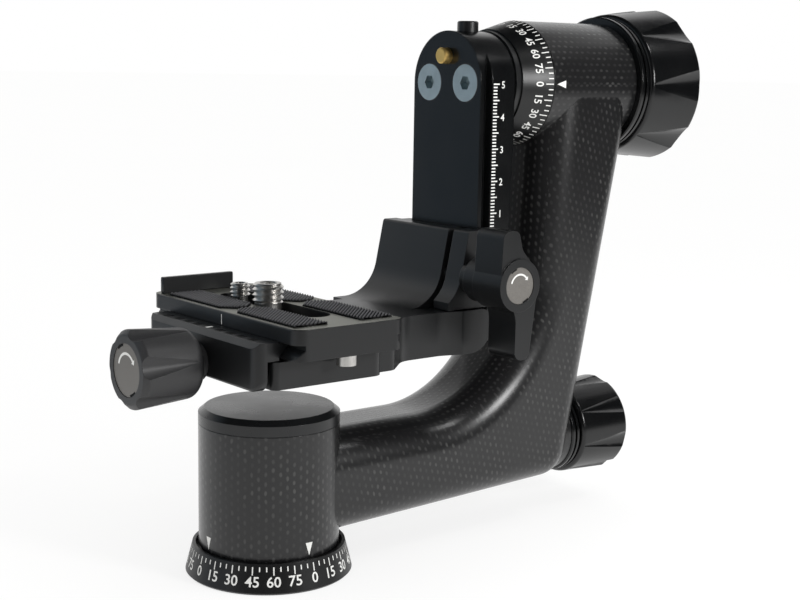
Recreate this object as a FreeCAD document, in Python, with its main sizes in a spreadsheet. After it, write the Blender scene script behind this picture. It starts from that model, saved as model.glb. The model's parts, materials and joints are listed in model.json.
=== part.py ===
"""Gimbal tripod head: a parametric FreeCAD document, one exported solid or group for each piece.

Frame: origin at the centre of the base's bottom face, +Z up, +X along the tilt axis from the
swing arm towards the two lock knobs. Lengths are in millimetres and angles in degrees.
"""
import FreeCAD, Part
import math
import os
import re
import Sketcher

SIZES = [
    # clearances
    ("running_gap", 0.03, "radial play of a shaft in its bush"),
    ("seat_gap", 0.05, "play between a pressed piece and its seat"),
    ("face_gap", 0.1, "play between faces that slide"),
    ("loose_gap", 0.3, "gap between pieces that pass each other"),
    ("edge_break", 0.4, "chamfer on turned edges"),
    ("overrun", 5.0, "how far a cutting shape runs past the piece it cuts"),
    ("blind_room", 1.0, "how far a blind bore runs past what it holds"),
    ("straight_left", 0.01, "straight edge left between two round ends"),
    # base
    ("foot_radius", 24.95, "graduated ring at the bottom"),
    ("foot_chamfer", 0.6, "edge break at the bottom of the ring"),
    ("lip_radius", 22.85, "graduated ring at its upper lip"),
    ("lip_height", 8.8, "height of the upper lip"),
    ("ring_well_radius", 21.9, "recess that takes the foot of the hub"),
    ("ring_web_top", 6.4, "floor of that recess"),
    ("flange_radius", 19.5, "spindle flange"),
    ("flange_height", 3.0, "thickness of the spindle flange"),
    ("boss_radius", 13.0, "boss that centres the ring"),
    ("boss_height", 7.4, "top of the boss"),
    ("pan_shaft_radius", 9.0, "pan spindle"),
    ("pan_shaft_top", 41.5, "top of the pan spindle"),
    ("tripod_thread_radius", 3.97, "minor radius of the 3/8 inch tripod thread"),
    ("tripod_bush_radius", 6.45, "threaded bush"),
    ("tripod_bush_length", 11.0, "threaded bush"),
    ("ring_screw_circle", 16.2, "radius of the circle of the ring screws"),
    ("ring_screw_radius", 1.5, "shank of a ring screw"),
    ("ring_screw_head", 2.9, "countersunk head of a ring screw"),
    ("ring_screw_count", 3, "number of ring screws"),
    ("thrust_washer", 0.8, "thickness of the pan thrust washer"),
    ("retainer_radius", 11.0, "washer that keeps the arm down"),
    ("retainer_thickness", 1.2, "washer that keeps the arm down"),
    ("retainer_screw_radius", 3.0, "screw in the top of the spindle"),
    ("retainer_head_radius", 4.5, "head of that screw"),
    ("retainer_head_height", 2.2, "head of that screw"),
    ("retainer_screw_depth", 12.0, "how far it goes into the spindle"),
    # pan hub of the arm
    ("pan_hub_radius", 21.0, "hub around the pan spindle"),
    ("pan_hub_top", 45.35, "top of the hub"),
    ("pan_bore_radius", 17.0, "bore for the metal sleeve"),
    ("pan_sleeve_bore", 12.0, "bore of the sleeve"),
    ("bush_length", 10.0, "length of each pan bush"),
    ("bush_spacing", 22.8, "distance between the lower ends of the pan bushes"),
    ("cap_side", 3.05, "height of the straight side of the hub cap"),
    ("cap_bevel", 1.6, "height of the bevel of the hub cap"),
    ("cap_flat_radius", 17.5, "flat top of the hub cap"),
    ("cap_spigot", 1.8, "length of the spigot under the hub cap"),
    ("cap_spigot_wall", 1.4, "thickness of that spigot"),
    ("cap_hollow", 0.8, "depth of the hollow inside the hub cap"),
    ("hub_foot", 8.4, "lower end of the hub"),
    # moulded arm
    ("arm_heel", 11.1, "underside of the arm at the pan axis"),
    ("arm_corner_x", 109.6, "lower outer corner"),
    ("arm_corner_z", 14.3, "lower outer corner"),
    ("arm_corner_radius", 11.0, "lower outer corner"),
    ("arm_shoulder_x", 131.6, "where the leaning outer face ends"),
    ("arm_shoulder_z", 130.0, "where the leaning outer face ends"),
    ("arm_shoulder_radius", 30.0, "easing of the outer face at the hub"),
    ("arm_top", 42.0, "top of the horizontal limb"),
    ("arm_bend_x", 89.7, "corner of the inner bend"),
    ("arm_bend_radius", 42.0, "inner bend"),
    ("arm_neck_x", 95.2, "inner face at the tilt hub"),
    ("arm_rise", 143.0, "top of the vertical limb, inside the hub"),
    ("arm_foot_width", 17.4, "half width of the arm at the bottom"),
    ("arm_head_width", 19.6, "half width of the arm at the top"),
    ("arm_outer_round", 8.5, "edge radius below and outside"),
    ("arm_inner_round", 12.0, "edge radius above and inside"),
    # tilt hub of the arm
    ("tilt_height", 145.0, "height of the tilt axis"),
    ("tilt_hub_radius", 20.0, "hub around the tilt spindle"),
    ("tilt_hub_front", 94.2, "face of the hub towards the swing arm"),
    ("tilt_hub_back", 132.0, "face of the hub towards the lock knob"),
    ("tilt_bore_radius", 16.0, "bore for the metal sleeve"),
    ("tilt_sleeve_bore", 11.5, "bore of the sleeve"),
    ("tilt_shaft_radius", 8.0, "tilt spindle"),
    ("tilt_bush_length", 10.8, "front tilt bush"),
    ("tilt_bush_inset", 0.6, "front tilt bush behind the end of the sleeve"),
    ("tilt_bush_back", 124.0, "back end of the rear tilt bush"),
    ("tilt_rear_bush_length", 7.0, "rear tilt bush"),
    ("tilt_washer_front", 93.05, "front of the thrust washer"),
    ("tilt_washer_length", 1.45, "thrust washer"),
    # pan lock
    ("pan_lock_height", 26.0, "height of the pan lock's axis"),
    ("pan_boss_radius", 13.6, "boss of the arm behind the pan knob"),
    ("pan_boss_end", 114.0, "end of that boss"),
    ("pan_boss_length", 12.0, "length of that boss"),
    ("spot_face_radius", 15.0, "flat cut into the leaning outer face around the boss"),
    ("rod_bore_radius", 5.0, "bore through the arm for the brake rod"),
    ("rod_radius", 3.0, "pan brake rod"),
    ("rod_bush_length", 20.0, "guide of the brake rod"),
    ("shoe_radius", 4.0, "pan brake shoe"),
    ("shoe_front", 7.0, "front of the shoe beside the spindle"),
    ("shoe_end", 17.0, "back of the shoe"),
    ("shoe_socket", 4.0, "depth of the rod in the shoe"),
    ("collar_length", 3.6, "grooved ring behind the pan knob"),
    ("pan_collar_radius", 14.2, "grooved ring behind the pan knob"),
    ("collar_groove", 0.9, "depth and width of the groove in a ring"),
    ("pan_knob_front", 118.0, "inner face of the pan knob"),
    ("pan_knob_front_radius", 15.3, "radius at the inner face"),
    ("pan_knob_rim", 138.0, "widest place of the pan knob"),
    ("pan_knob_rim_radius", 16.4, "radius at the widest place"),
    ("pan_knob_end", 140.5, "outer end of the pan knob"),
    ("pan_knob_clock", 13.0, "turn of the flutes about the axis"),
    ("pan_rod_end", 132.0, "end of the brake rod"),
    # tilt lock
    ("tilt_collar_length", 4.0, "grooved ring behind the tilt knob"),
    ("tilt_collar_radius", 22.4, "grooved ring behind the tilt knob"),
    ("tilt_knob_front", 136.1, "inner face of the tilt knob"),
    ("tilt_knob_front_radius", 23.3, "radius at the inner face"),
    ("tilt_knob_rim", 157.0, "widest place of the tilt knob"),
    ("tilt_knob_rim_radius", 26.0, "radius at the widest place"),
    ("tilt_knob_end", 159.6, "outer end of the tilt knob"),
    ("plate_disc_radius", 11.2, "pressure plate"),
    ("plate_disc_front", 129.6, "front of the pressure plate"),
    ("plate_disc_length", 1.6, "pressure plate"),
    ("plate_stem_radius", 5.0, "threaded stem of the pressure plate"),
    ("plate_stem_end", 150.0, "end of the stem"),
    ("friction_disc_front", 127.0, "front of the friction disc"),
    ("friction_disc_length", 2.3, "friction disc"),
    ("spindle_stub_radius", 5.0, "thinner end of the tilt spindle"),
    ("nut_across", 17.0, "width across the flats of the spindle nut"),
    ("nut_length", 2.7, "spindle nut"),
    # knobs in general
    ("flute_count", 8, "flutes around a lock knob"),
    ("knob_round", 1.4, "rounding of a knob's edges"),
    ("knob_cap_depth", 1.6, "recess for the end cap of a knob"),
    ("insert_radius", 7.5, "brass insert in a knob"),
    ("rod_room", 1.3, "bore of a knob past the end of its rod"),
    ("knob_shoulder", 2.4, "how much a lock knob narrows at its outer end"),
    ("knob_cap_share", 0.62, "end cap's radius over the knob's widest radius"),
    ("flute_inset", 1.2, "start of a flute behind the knob's inner face"),
    ("flute_length_share", 1.2, "flute cone's length over the knob's length"),
    ("flute_tip_share", 0.03, "flute cone's inner radius over the knob's widest radius"),
    ("flute_mouth_share", 0.46, "flute cone's outer radius over the knob's widest radius"),
    ("flute_lift_share", 0.02, "height of the flute cone's tip over the knob, as a share of that radius"),
    ("flute_axis_share", 1.36, "height of the flute cone's mouth from the axis, as a share of that radius"),
    # swing arm
    ("rail_front", 66.3, "front face of the rail"),
    ("rail_back", 80.5, "back face at the tilt axis"),
    ("rail_foot_back", 78.2, "back face at the lower end"),
    ("rail_taper_top", 128.0, "height where the back face starts to taper"),
    ("rail_half", 16.1, "half width of the rail"),
    ("rail_bottom", 63.5, "lower end of the rail"),
    ("rail_edge", 1.4, "thickness of the dovetail's flange"),
    ("rail_undercut", 2.7, "depth of the dovetail's undercut"),
    ("groove_floor", 0.4, "flat floor of the dovetail's groove"),
    ("rail_foot_round", 2.0, "rounding of the rail's lower corners"),
    ("arm_screw_spread", 8.6, "distance of a swing arm screw from the middle"),
    ("arm_screw_radius", 3.0, "M6 screw"),
    ("arm_screw_head", 5.8, "countersunk head of the M6 screw"),
    ("arm_screw_end", 90.0, "end of the M6 screws"),
    ("stop_pin_height", 153.3, "height of the stop pin"),
    ("stop_pin_radius", 2.5, "stop pin"),
    ("stop_pin_reach", 3.0, "how far the pin stands out of the rail"),
    ("stop_pin_end", 76.9, "inner end of the stop pin"),
    ("button_place", 74.5, "place of the release button along the tilt axis"),
    ("button_radius", 3.35, "release button"),
    ("button_top", 164.2, "top of the release button"),
    ("button_foot", 159.1, "underside of the button's head"),
    ("button_travel", 3.0, "travel of the button and of the pin"),
    ("cam_place", 70.0, "where the cam's middle line crosses the axis of the stop pin"),
    ("cam_half", 1.0, "half width of the slanting cam under the button"),
    ("cam_width", 2.2, "width of the cam along the stop pin"),
    ("cam_foot", 154.0, "lower end of the cam"),
    ("cam_slot_half", 3.0, "half height of the slanting slot across the stop pin"),
    ("cam_gap", 0.1, "play of the cam in the slot of the stop pin"),
    ("cam_root", 0.3, "how far the cam is set into the button's head"),
    ("socket_across", 4.0, "hexagon socket of the M6 screws"),
    ("socket_depth", 2.6, "hexagon socket of the M6 screws"),
    ("spacer_front", 81.0, "front of the disc behind the swing arm"),
    ("spacer_radius", 16.5, "disc behind the swing arm"),
    ("scale_front", 83.1, "front of the graduated tilt ring"),
    ("scale_back", 93.9, "back of the graduated tilt ring"),
    ("scale_front_radius", 17.0, "graduated tilt ring at its front"),
    ("scale_back_radius", 20.05, "graduated tilt ring at its back"),
    ("spindle_flange_radius", 14.5, "flange of the tilt spindle"),
    ("spindle_flange_back", 93.0, "back of the flange"),
    # platform
    ("rail_front_gap", 0.25, "gap between the rail and the bracket"),
    ("wall_lean_x", 60.2, "front of the wall at its top"),
    ("wall_root_x", 55.1, "front of the wall at the plate, before its fillet"),
    ("wall_fillet", 13.0, "fillet between the wall and the plate"),
    ("wall_foot", 15.0, "length of the wall's foot over the deck"),
    ("wall_sink", 2.0, "how far the wall's foot is set into the deck"),
    ("wall_front_round", 1.0, "rounding of the wall's upper front edge"),
    ("wall_back_round", 0.6, "rounding of the wall's upper back edge"),
    ("wall_side", 23.5, "side of the wall away from the lever"),
    ("slot_side", 9.7, "side of the wall next to the jaw"),
    ("slot_width", 2.5, "slot between the wall and the jaw"),
    ("jaw_side", 19.4, "outer side of the rail jaw"),
    ("jaw_foot_x", 52.5, "end of the rail jaw's foot"),
    ("jaw_foot_height", 9.0, "height of the cut in front of the rail jaw's foot"),
    ("hook_side", 20.5, "outer side of the hooks around the rail"),
    ("hook_back", 69.2, "back of the hooks"),
    ("hook_root", 3.0, "overlap of a hook with the wall"),
    ("hook_corner", 1.0, "corner radius of the hooks"),
    ("hook_heel", 8.0, "rounding of the hooks' lower back edge"),
    ("hook_crown", 4.0, "rounding of the upper back edge of the hook below the jaw"),
    ("deck_bottom", 62.2, "underside of the bracket"),
    ("deck_top", 75.8, "top of the bracket's deck"),
    ("deck_half", 18.4, "half width of the deck's narrow middle"),
    ("clamp_half", 30.5, "half width of the plate clamp"),
    ("clamp_end", -18.7, "outer end of the clamp's base"),
    ("clamp_top", 70.0, "top of the clamp's base"),
    ("fixed_jaw_half", 27.0, "half width of the fixed jaw"),
    ("fixed_jaw_back", 25.5, "back of the fixed jaw"),
    ("deck_neck_x", 35.0, "front of the deck's narrow middle"),
    ("deck_neck_end", 50.0, "back of the deck's narrow middle"),
    ("deck_flare_x", 57.5, "where the deck has widened to the hooks"),
    ("deck_neck_round", 8.5, "easing of the narrow middle"),
    ("deck_flare_round", 3.0, "easing where it meets the hooks"),
    ("deck_root", 4.0, "overlap of the deck with the base of the clamp"),
    ("deck_corner", 4.0, "corner radius of the fixed jaw and the base's back"),
    ("clamp_corner", 2.0, "corner radius of the base's front"),
    ("clamp_root", 1.0, "how far the base of the clamp ends before the plate's edge"),
    # rail lever
    ("lever_x", 61.3, "axis of the rail lever"),
    ("lever_rise", 10.2, "axis of the rail lever over the deck"),
    ("wall_over_lever", 14.2, "top of the wall over that axis"),
    ("lever_hub_radius", 8.0, "hub of the rail lever at its wings"),
    ("lever_boss_radius", 7.0, "hub of the rail lever between its wings and its neck"),
    ("lever_inner", 23.5, "inner face of the lever's hub"),
    ("lever_wing", 29.0, "inner face of the lever's wings"),
    ("lever_outer", 41.5, "outer face of the lever"),
    ("lever_neck_radius", 5.0, "neck between the lever and the jaw"),
    ("lever_screw_radius", 2.9, "clamping screw of the lever"),
    ("lever_screw_tip", 10.0, "depth of the clamping screw past the middle"),
    ("lever_screw_cover", 7.0, "material in front of that screw"),
    ("lever_cap_radius", 5.5, "cap disc of the lever"),
    ("wing_step", 0.6, "how far the wings stay behind the hub's outer face"),
    ("wing_top", 16.5, "end of the upper wing"),
    ("wing_top_left", -6.4, "one side of the upper wing's end"),
    ("wing_top_right", -0.4, "other side of the upper wing's end"),
    ("wing_bottom", -22.8, "end of the lower wing"),
    ("wing_bottom_left", -0.9, "one side of the lower wing's end"),
    ("wing_bottom_right", 4.8, "other side of the lower wing's end"),
    ("wing_left", -7.4, "widest place on one side, level with the axis"),
    ("wing_left_crook", -0.8, "hollow below it, from the axis"),
    ("wing_left_crook_height", -9.0, "height of that hollow"),
    ("wing_left_crook_round", 8.0, "radius of that hollow"),
    ("wing_right", 8.2, "widest place on the other side"),
    ("wing_right_height", 3.0, "height of that place"),
    ("wing_right_crook", 1.2, "hollow above it, from the axis"),
    ("wing_right_crook_height", 10.5, "height of that hollow"),
    ("wing_right_crook_round", 5.0, "radius of that hollow"),
    ("wing_round", 6.0, "rounding of the widest places"),
    ("wing_tip_round", 2.6, "rounding of the wings' ends"),
    ("cap_thickness", 1.0, "cap discs"),
    # quick-release plate
    ("plate_front", -16.4, "edge of the plate towards the clamp knob"),
    ("plate_back", 20.6, "edge of the plate towards the arm"),
    ("plate_near", -38.5, "end of the plate"),
    ("plate_far", 41.0, "end of the plate with the lip"),
    ("plate_bottom", 71.0, "underside of the plate"),
    ("plate_groove_height", 4.4, "height of the dovetail below the upper slab"),
    ("plate_slab_thickness", 4.4, "upper slab of the plate"),
    ("plate_edge", 0.3, "height of the flange's vertical edge"),
    ("plate_undercut", 2.8, "depth of the plate's dovetail"),
    ("plate_corner", 4.0, "corner radius of the plate"),
    ("plate_edge_round", 0.5, "rounding along the top of the plate"),
    ("screw_slot_half", 5.0, "half width of the screw slot"),
    ("screw_slot_near", -24.0, "end of the screw slot"),
    ("screw_slot_far", 27.0, "end of the screw slot"),
    ("screw_channel_half", 7.8, "half width of the channel for the screw heads"),
    ("screw_channel_top", 75.2, "roof of that channel"),
    ("pad_inner", 5.6, "edge of a rubber pad from the middle of the plate"),
    ("pad_outer", 16.8, "edge of a rubber pad from the middle of the plate"),
    ("pad_depth", 0.8, "recess of the pads"),
    ("pad_proud", 0.8, "how far the pads stand out"),
    ("pad_gap", 1.4, "half gap between the pads at the middle"),
    ("pad_length", 32.0, "length of a pad"),
    ("pad_shift", -0.6, "middle of the four pads along the plate"),
    ("pad_notch", 3.6, "diagonal cuts at the inner end of a pad"),
    ("plate_lip_front", -15.0, "end of the anti-twist lip towards the clamp knob"),
    ("plate_lip_back", 10.0, "end of the anti-twist lip towards the arm"),
    ("plate_lip_outer", 40.0, "outer face of the anti-twist lip"),
    ("plate_lip_thickness", 4.0, "anti-twist lip"),
    ("plate_lip_height", 5.0, "height of the anti-twist lip over the plate"),
    ("stop_screw_radius", 2.8, "stop screws under the plate"),
    ("stop_shank_radius", 1.7, "shank of a stop screw"),
    ("stop_screw_depth", 3.6, "depth of a stop screw in the plate"),
    ("stop_screw_drop", 3.0, "how far a stop screw stands out below"),
    ("stop_screw_near", -35.3, "place of one stop screw"),
    ("stop_screw_far", 36.0, "place of the other stop screw"),
    ("large_screw_y", 4.0, "place of the 3/8 inch screw"),
    ("large_screw_radius", 4.7, "3/8 inch camera screw"),
    ("large_screw_reach", 6.2, "length above the plate"),
    ("large_head_radius", 7.2, "head of the 3/8 inch screw"),
    ("small_screw_y", 19.5, "place of the 1/4 inch screw"),
    ("small_screw_radius", 3.1, "1/4 inch camera screw"),
    ("small_screw_reach", 4.2, "length above the plate"),
    ("small_head_radius", 5.9, "head of the 1/4 inch screw"),
    ("screw_head_height", 3.4, "head of a camera screw"),
    ("screw_neck_depth", 0.7, "relief between the head and the thread"),
    ("screw_thread_foot", 80.2, "where the thread starts"),
    # plate clamp
    ("qr_jaw_outer", -24.0, "outer face of the moving jaw"),
    ("qr_jaw_inner", -20.4, "inner face of the moving jaw"),
    ("qr_jaw_bottom", 62.0, "underside of the moving jaw"),
    ("qr_jaw_top", 75.5, "top of the moving jaw"),
    ("qr_jaw_half", 30.0, "half width of the moving jaw"),
    ("qr_jaw_bevel", 1.6, "bevel along the top of the jaw"),
    ("qr_jaw_round", 0.8, "rounding along the bottom of the jaw"),
    ("qr_jaw_end_round", 3.4, "rounding of the jaw's outer corners"),
    ("qr_axis_height", 66.0, "axis of the clamp knob"),
    ("qr_knob_inner", -27.0, "inner end of the clamp knob"),
    ("qr_knob_inner_radius", 10.0, "clamp knob at its inner end"),
    ("qr_knob_rim", -45.6, "widest place of the clamp knob"),
    ("qr_knob_rim_radius", 11.3, "clamp knob at its widest place"),
    ("qr_knob_outer", -47.0, "outer end of the clamp knob"),
    ("qr_neck_radius", 5.5, "neck of the clamp knob"),
    ("qr_knob_inner_round", 3.0, "rounding of its inner edge"),
    ("qr_knob_rim_round", 1.0, "rounding at the widest place"),
    ("qr_knob_outer_round", 0.8, "rounding of its outer edge"),
    ("qr_knob_shoulder", 1.4, "how much it narrows at its outer end"),
    ("qr_flute_tip", 0.4, "inner radius of a flute cone"),
    ("qr_flute_mouth", 6.4, "outer radius of a flute cone"),
    ("qr_flute_length", 24.0, "length of a flute cone"),
    ("qr_flute_inset", 1.6, "start of a flute behind the inner end"),
    ("qr_flute_lift", 0.5, "height of a flute cone's tip over the knob"),
    ("qr_flute_lean", 78.0, "angle of a flute cone from upright"),
    ("qr_knob_clock", 18.0, "turn of the flutes about the axis"),
    ("qr_flute_count", 6, "flutes around the clamp knob"),
    ("qr_cap_radius", 7.5, "end disc of the clamp knob"),
    ("qr_screw_radius", 3.0, "screw of the clamp"),
    ("qr_screw_end", -4.0, "inner end of the clamp screw"),
    ("qr_screw_cover", 6.0, "knob in front of that screw"),
    ("guide_pin_radius", 2.0, "guide pins of the moving jaw"),
    ("guide_pin_spread", 19.0, "distance of a guide pin from the middle"),
    ("guide_pin_end", -8.0, "inner end of the guide pins"),
    ("guide_pin_cover", 1.0, "jaw in front of a guide pin"),
]
DERIVED = [
    ("lever_height", "=deck_top + lever_rise", "axis of the rail lever"),
    ("wall_top", "=lever_height + wall_over_lever", "top of the bracket's wall"),
    ("jaw_foot_z", "=deck_top + loose_gap", "underside of the rail jaw"),
    ("plate_slab", "=plate_bottom + plate_groove_height", "underside of the plate's upper slab"),
    ("plate_top", "=plate_slab + plate_slab_thickness", "top of the plate"),
    ("plate_lip_top", "=plate_top + plate_lip_height", "top of the anti-twist lip"),
]
WORDS = {row[0] for row in SIZES + DERIVED}

doc = FreeCAD.newDocument("gimbal_head")
sheet = doc.addObject("Spreadsheet::Sheet", "Dims")
for number, (alias, size, note) in enumerate(SIZES + DERIVED, start=1):
    sheet.set(f"A{number}", alias)
    sheet.setAlias(f"B{number}", alias)
    sheet.set(f"B{number}", str(size))
    sheet.set(f"C{number}", note)
doc.recompute()

NEAR = 0.05  # mm: how close an edge must lie to a place to be picked by it
SAME = 1e-3  # mm: lengths that differ by less are taken as equal
ORIGIN = ("0", "0", "0")
PLANE_ACROSS = {"X": "YZ_Plane", "Y": "XZ_Plane", "Z": "XY_Plane"}
parts = []


def linked(formula):
    """The formula with every size's name pointed at the spreadsheet."""
    return re.sub(r"[a-z_]+\w*", lambda word: "Dims." + word[0] if word[0] in WORDS else word[0], formula)


def value(formula):
    """The number that a formula of sizes gives now."""
    return float(sheet.evalExpression(formula))


def bind(thing, prop, formula):
    """Tie a property to a formula of sizes."""
    thing.setExpression(prop, linked(formula))


def part_origin(body, role):
    """A plane or an axis of the body's own origin."""
    return next(item for item in body.Origin.OriginFeatures if item.Role == role)


def new_body(label, centre=ORIGIN):
    """An empty body whose own origin lies at centre."""
    body = doc.addObject("PartDesign::Body", label)
    body.Label = label
    for letter, formula in zip("xyz", centre):
        if formula != "0":
            bind(body, f"Placement.Base.{letter}", formula)
    parts.append(body)
    return body


def new_feature(body, kind, name):
    return body.newObject("PartDesign::" + kind, f"{body.Name}_{name}")


def new_sketch(body, role, name, offset="0"):
    """A sketch on one of the body's origin planes, moved along the plane's normal."""
    sketch = body.newObject("Sketcher::SketchObject", f"{body.Name}_{name}")
    sketch.AttachmentSupport = (part_origin(body, role), [""])
    sketch.MapMode = "FlatFace"
    if offset != "0":
        bind(sketch, "AttachmentOffset.Base.z", offset)
    return sketch


def pin_point(sketch, geometry, end, point, name):
    """Fix a sketch point at two formulas."""
    for axis, formula in zip("XY", point):
        place = sketch.addConstraint(
            Sketcher.Constraint("Distance" + axis, -1, 1, geometry, end, value(formula)))
        sketch.renameConstraint(place, f"{name}{axis}")
        if not re.fullmatch(r"-?[\d.]+", formula):
            bind(sketch, f"Constraints.{name}{axis}", formula)


def corner_arc(before, corner, after, radius):
    """Start, middle and end of the arc that rounds a corner."""
    inward = (before - corner).normalize()
    outward = (after - corner).normalize()
    half_angle = inward.getAngle(outward) / 2
    reach = radius / math.tan(half_angle)
    centre = corner + (inward + outward).normalize() * (radius / math.sin(half_angle))
    middle = centre + (corner - centre).normalize() * radius
    return corner + inward * reach, middle, corner + outward * reach


def draw(sketch, corners, name="p"):
    """A closed outline. A corner is two formulas and, where it is rounded, a third for its radius."""
    here = [FreeCAD.Vector(value(row[0]), value(row[1]), 0) for row in corners]
    count = len(here)
    starts, ends, arcs = [], [], []
    for index, row in enumerate(corners):
        if len(row) == 3:
            arc = corner_arc(here[index - 1], here[index], here[(index + 1) % count], value(row[2]))
        else:
            arc = None
        arcs.append(arc)
        ends.append(arc[0] if arc else here[index])
        starts.append(arc[2] if arc else here[index])
    first = sketch.GeometryCount
    for index in range(count):
        sketch.addGeometry(Part.LineSegment(starts[index], ends[(index + 1) % count]), False)
    for index, row in enumerate(corners):
        before = first + (index - 1) % count
        after = first + index
        if arcs[index] is None:
            sketch.addConstraint(Sketcher.Constraint("Coincident", before, 2, after, 1))
            pin_point(sketch, after, 1, row[:2], f"{name}{index}")
            continue
        arc = sketch.addGeometry(Part.Arc(*arcs[index]), False)
        incoming, outgoing = 1, 2
        if sketch.getPoint(arc, 1).distanceToPoint(arcs[index][0]) > SAME:
            incoming, outgoing = 2, 1
        corner = sketch.addGeometry(Part.Point(here[index]), True)
        sketch.addConstraint(Sketcher.Constraint("PointOnObject", corner, 1, before))
        sketch.addConstraint(Sketcher.Constraint("PointOnObject", corner, 1, after))
        sketch.addConstraint(Sketcher.Constraint("Tangent", before, 2, arc, incoming))
        sketch.addConstraint(Sketcher.Constraint("Tangent", arc, outgoing, after, 1))
        round_size = sketch.addConstraint(Sketcher.Constraint("Radius", arc, value(row[2])))
        sketch.renameConstraint(round_size, f"{name}{index}R")
        bind(sketch, f"Constraints.{name}{index}R", row[2])
        pin_point(sketch, corner, 1, row[:2], f"{name}{index}")
    return sketch


def lathe(label, axis, corners, centre=ORIGIN):
    """A turned piece. Corners are (radius, height) about Z, and (place, radius) about X or Y."""
    body = new_body(label, centre)
    role = {"X": "XZ_Plane", "Y": "YZ_Plane", "Z": "XZ_Plane"}[axis]
    sketch = draw(new_sketch(body, role, "profile"), corners)
    turned = new_feature(body, "Revolution", "turned")
    turned.Profile = sketch
    turned.ReferenceAxis = (sketch, ["V_Axis" if axis == "Z" else "H_Axis"])
    turned.Angle = 360
    return body


def tube(start, end, outer, inner="0"):
    """Profile of a plain tube or rod along X or Y."""
    return [(start, inner), (end, inner), (end, outer), (start, outer)]


def upright(inner, outer, bottom, top):
    """Profile of a plain tube, washer or rod about Z."""
    return [(inner, bottom), (outer, bottom), (outer, top), (inner, top)]


def pad(body, sketch, length, name, both_ways=False, reverse=False):
    feature = new_feature(body, "Pad", name)
    feature.Profile = sketch
    feature.SideType = "Symmetric" if both_ways else "One side"
    feature.Reversed = reverse
    bind(feature, "Length", length)
    return feature


def pocket(body, sketch, name, length=None, both_ways=True, reverse=False):
    """Cut the sketch out of the body, to a length or right through."""
    feature = new_feature(body, "Pocket", name)
    feature.Profile = sketch
    feature.SideType = "Symmetric" if both_ways else "One side"
    feature.Reversed = reverse
    if length is None:
        feature.Type = "ThroughAll"
    else:
        bind(feature, "Length", length)
    return feature


def primitive(body, kind, name, axis, start, across, **sizes):
    """A cylinder or cone along +X, -Y or +Z that starts at start, across at the two other places."""
    feature = new_feature(body, kind, name)
    feature.AttachmentSupport = (part_origin(body, PLANE_ACROSS[axis]), [""])
    feature.MapMode = "FlatFace"
    places = dict(zip("xyz", (*across, f"-({start})" if axis == "Y" else start)))
    for letter, formula in places.items():
        if formula != "0":
            bind(feature, f"AttachmentOffset.Base.{letter}", formula)
    for prop, formula in sizes.items():
        bind(feature, prop, formula)
    return feature


def repeat(body, features, axis, count, name):
    """Copies of features around an axis of the body."""
    pattern = new_feature(body, "PolarPattern", name)
    pattern.Originals = features
    pattern.Axis = (part_origin(body, axis), [""])
    pattern.Angle = 360
    bind(pattern, "Occurrences", count)
    body.Tip = pattern
    return pattern


def mirror(body, features, role, name):
    """Mirror images of features in one of the body's planes."""
    pattern = new_feature(body, "Mirrored", name)
    pattern.Originals = features
    pattern.MirrorPlane = (part_origin(body, role), [""])
    body.Tip = pattern
    return pattern


def round_edges(body, radius, chosen, name, kind="Fillet"):
    """Fillet or chamfer the edges for which chosen(edge) is true."""
    doc.recompute()
    base = body.Tip
    names = [f"Edge{place}" for place, edge in enumerate(base.Shape.Edges, start=1) if chosen(edge)]
    feature = new_feature(body, kind, name)
    feature.Base = (base, names)
    bind(feature, "Size" if kind == "Chamfer" else "Radius", radius)
    return feature


def break_edges(body, axis, circles, size="edge_break", name="edge_break"):
    """Chamfer the turned edges at the given (place along the axis, radius) pairs."""
    rings = [(value(place), value(radius)) for place, radius in circles]
    across = "Y" if axis == "X" else "X"

    def chosen(edge):
        box = edge.BoundBox
        low, high = getattr(box, axis + "Min"), getattr(box, axis + "Max")
        radius = getattr(box, across + "Length") / 2
        return high - low < SAME and any(
            abs(low - place) < SAME and abs(radius - wanted) < SAME for place, wanted in rings)

    return round_edges(body, size, chosen, name, "Chamfer")


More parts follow.
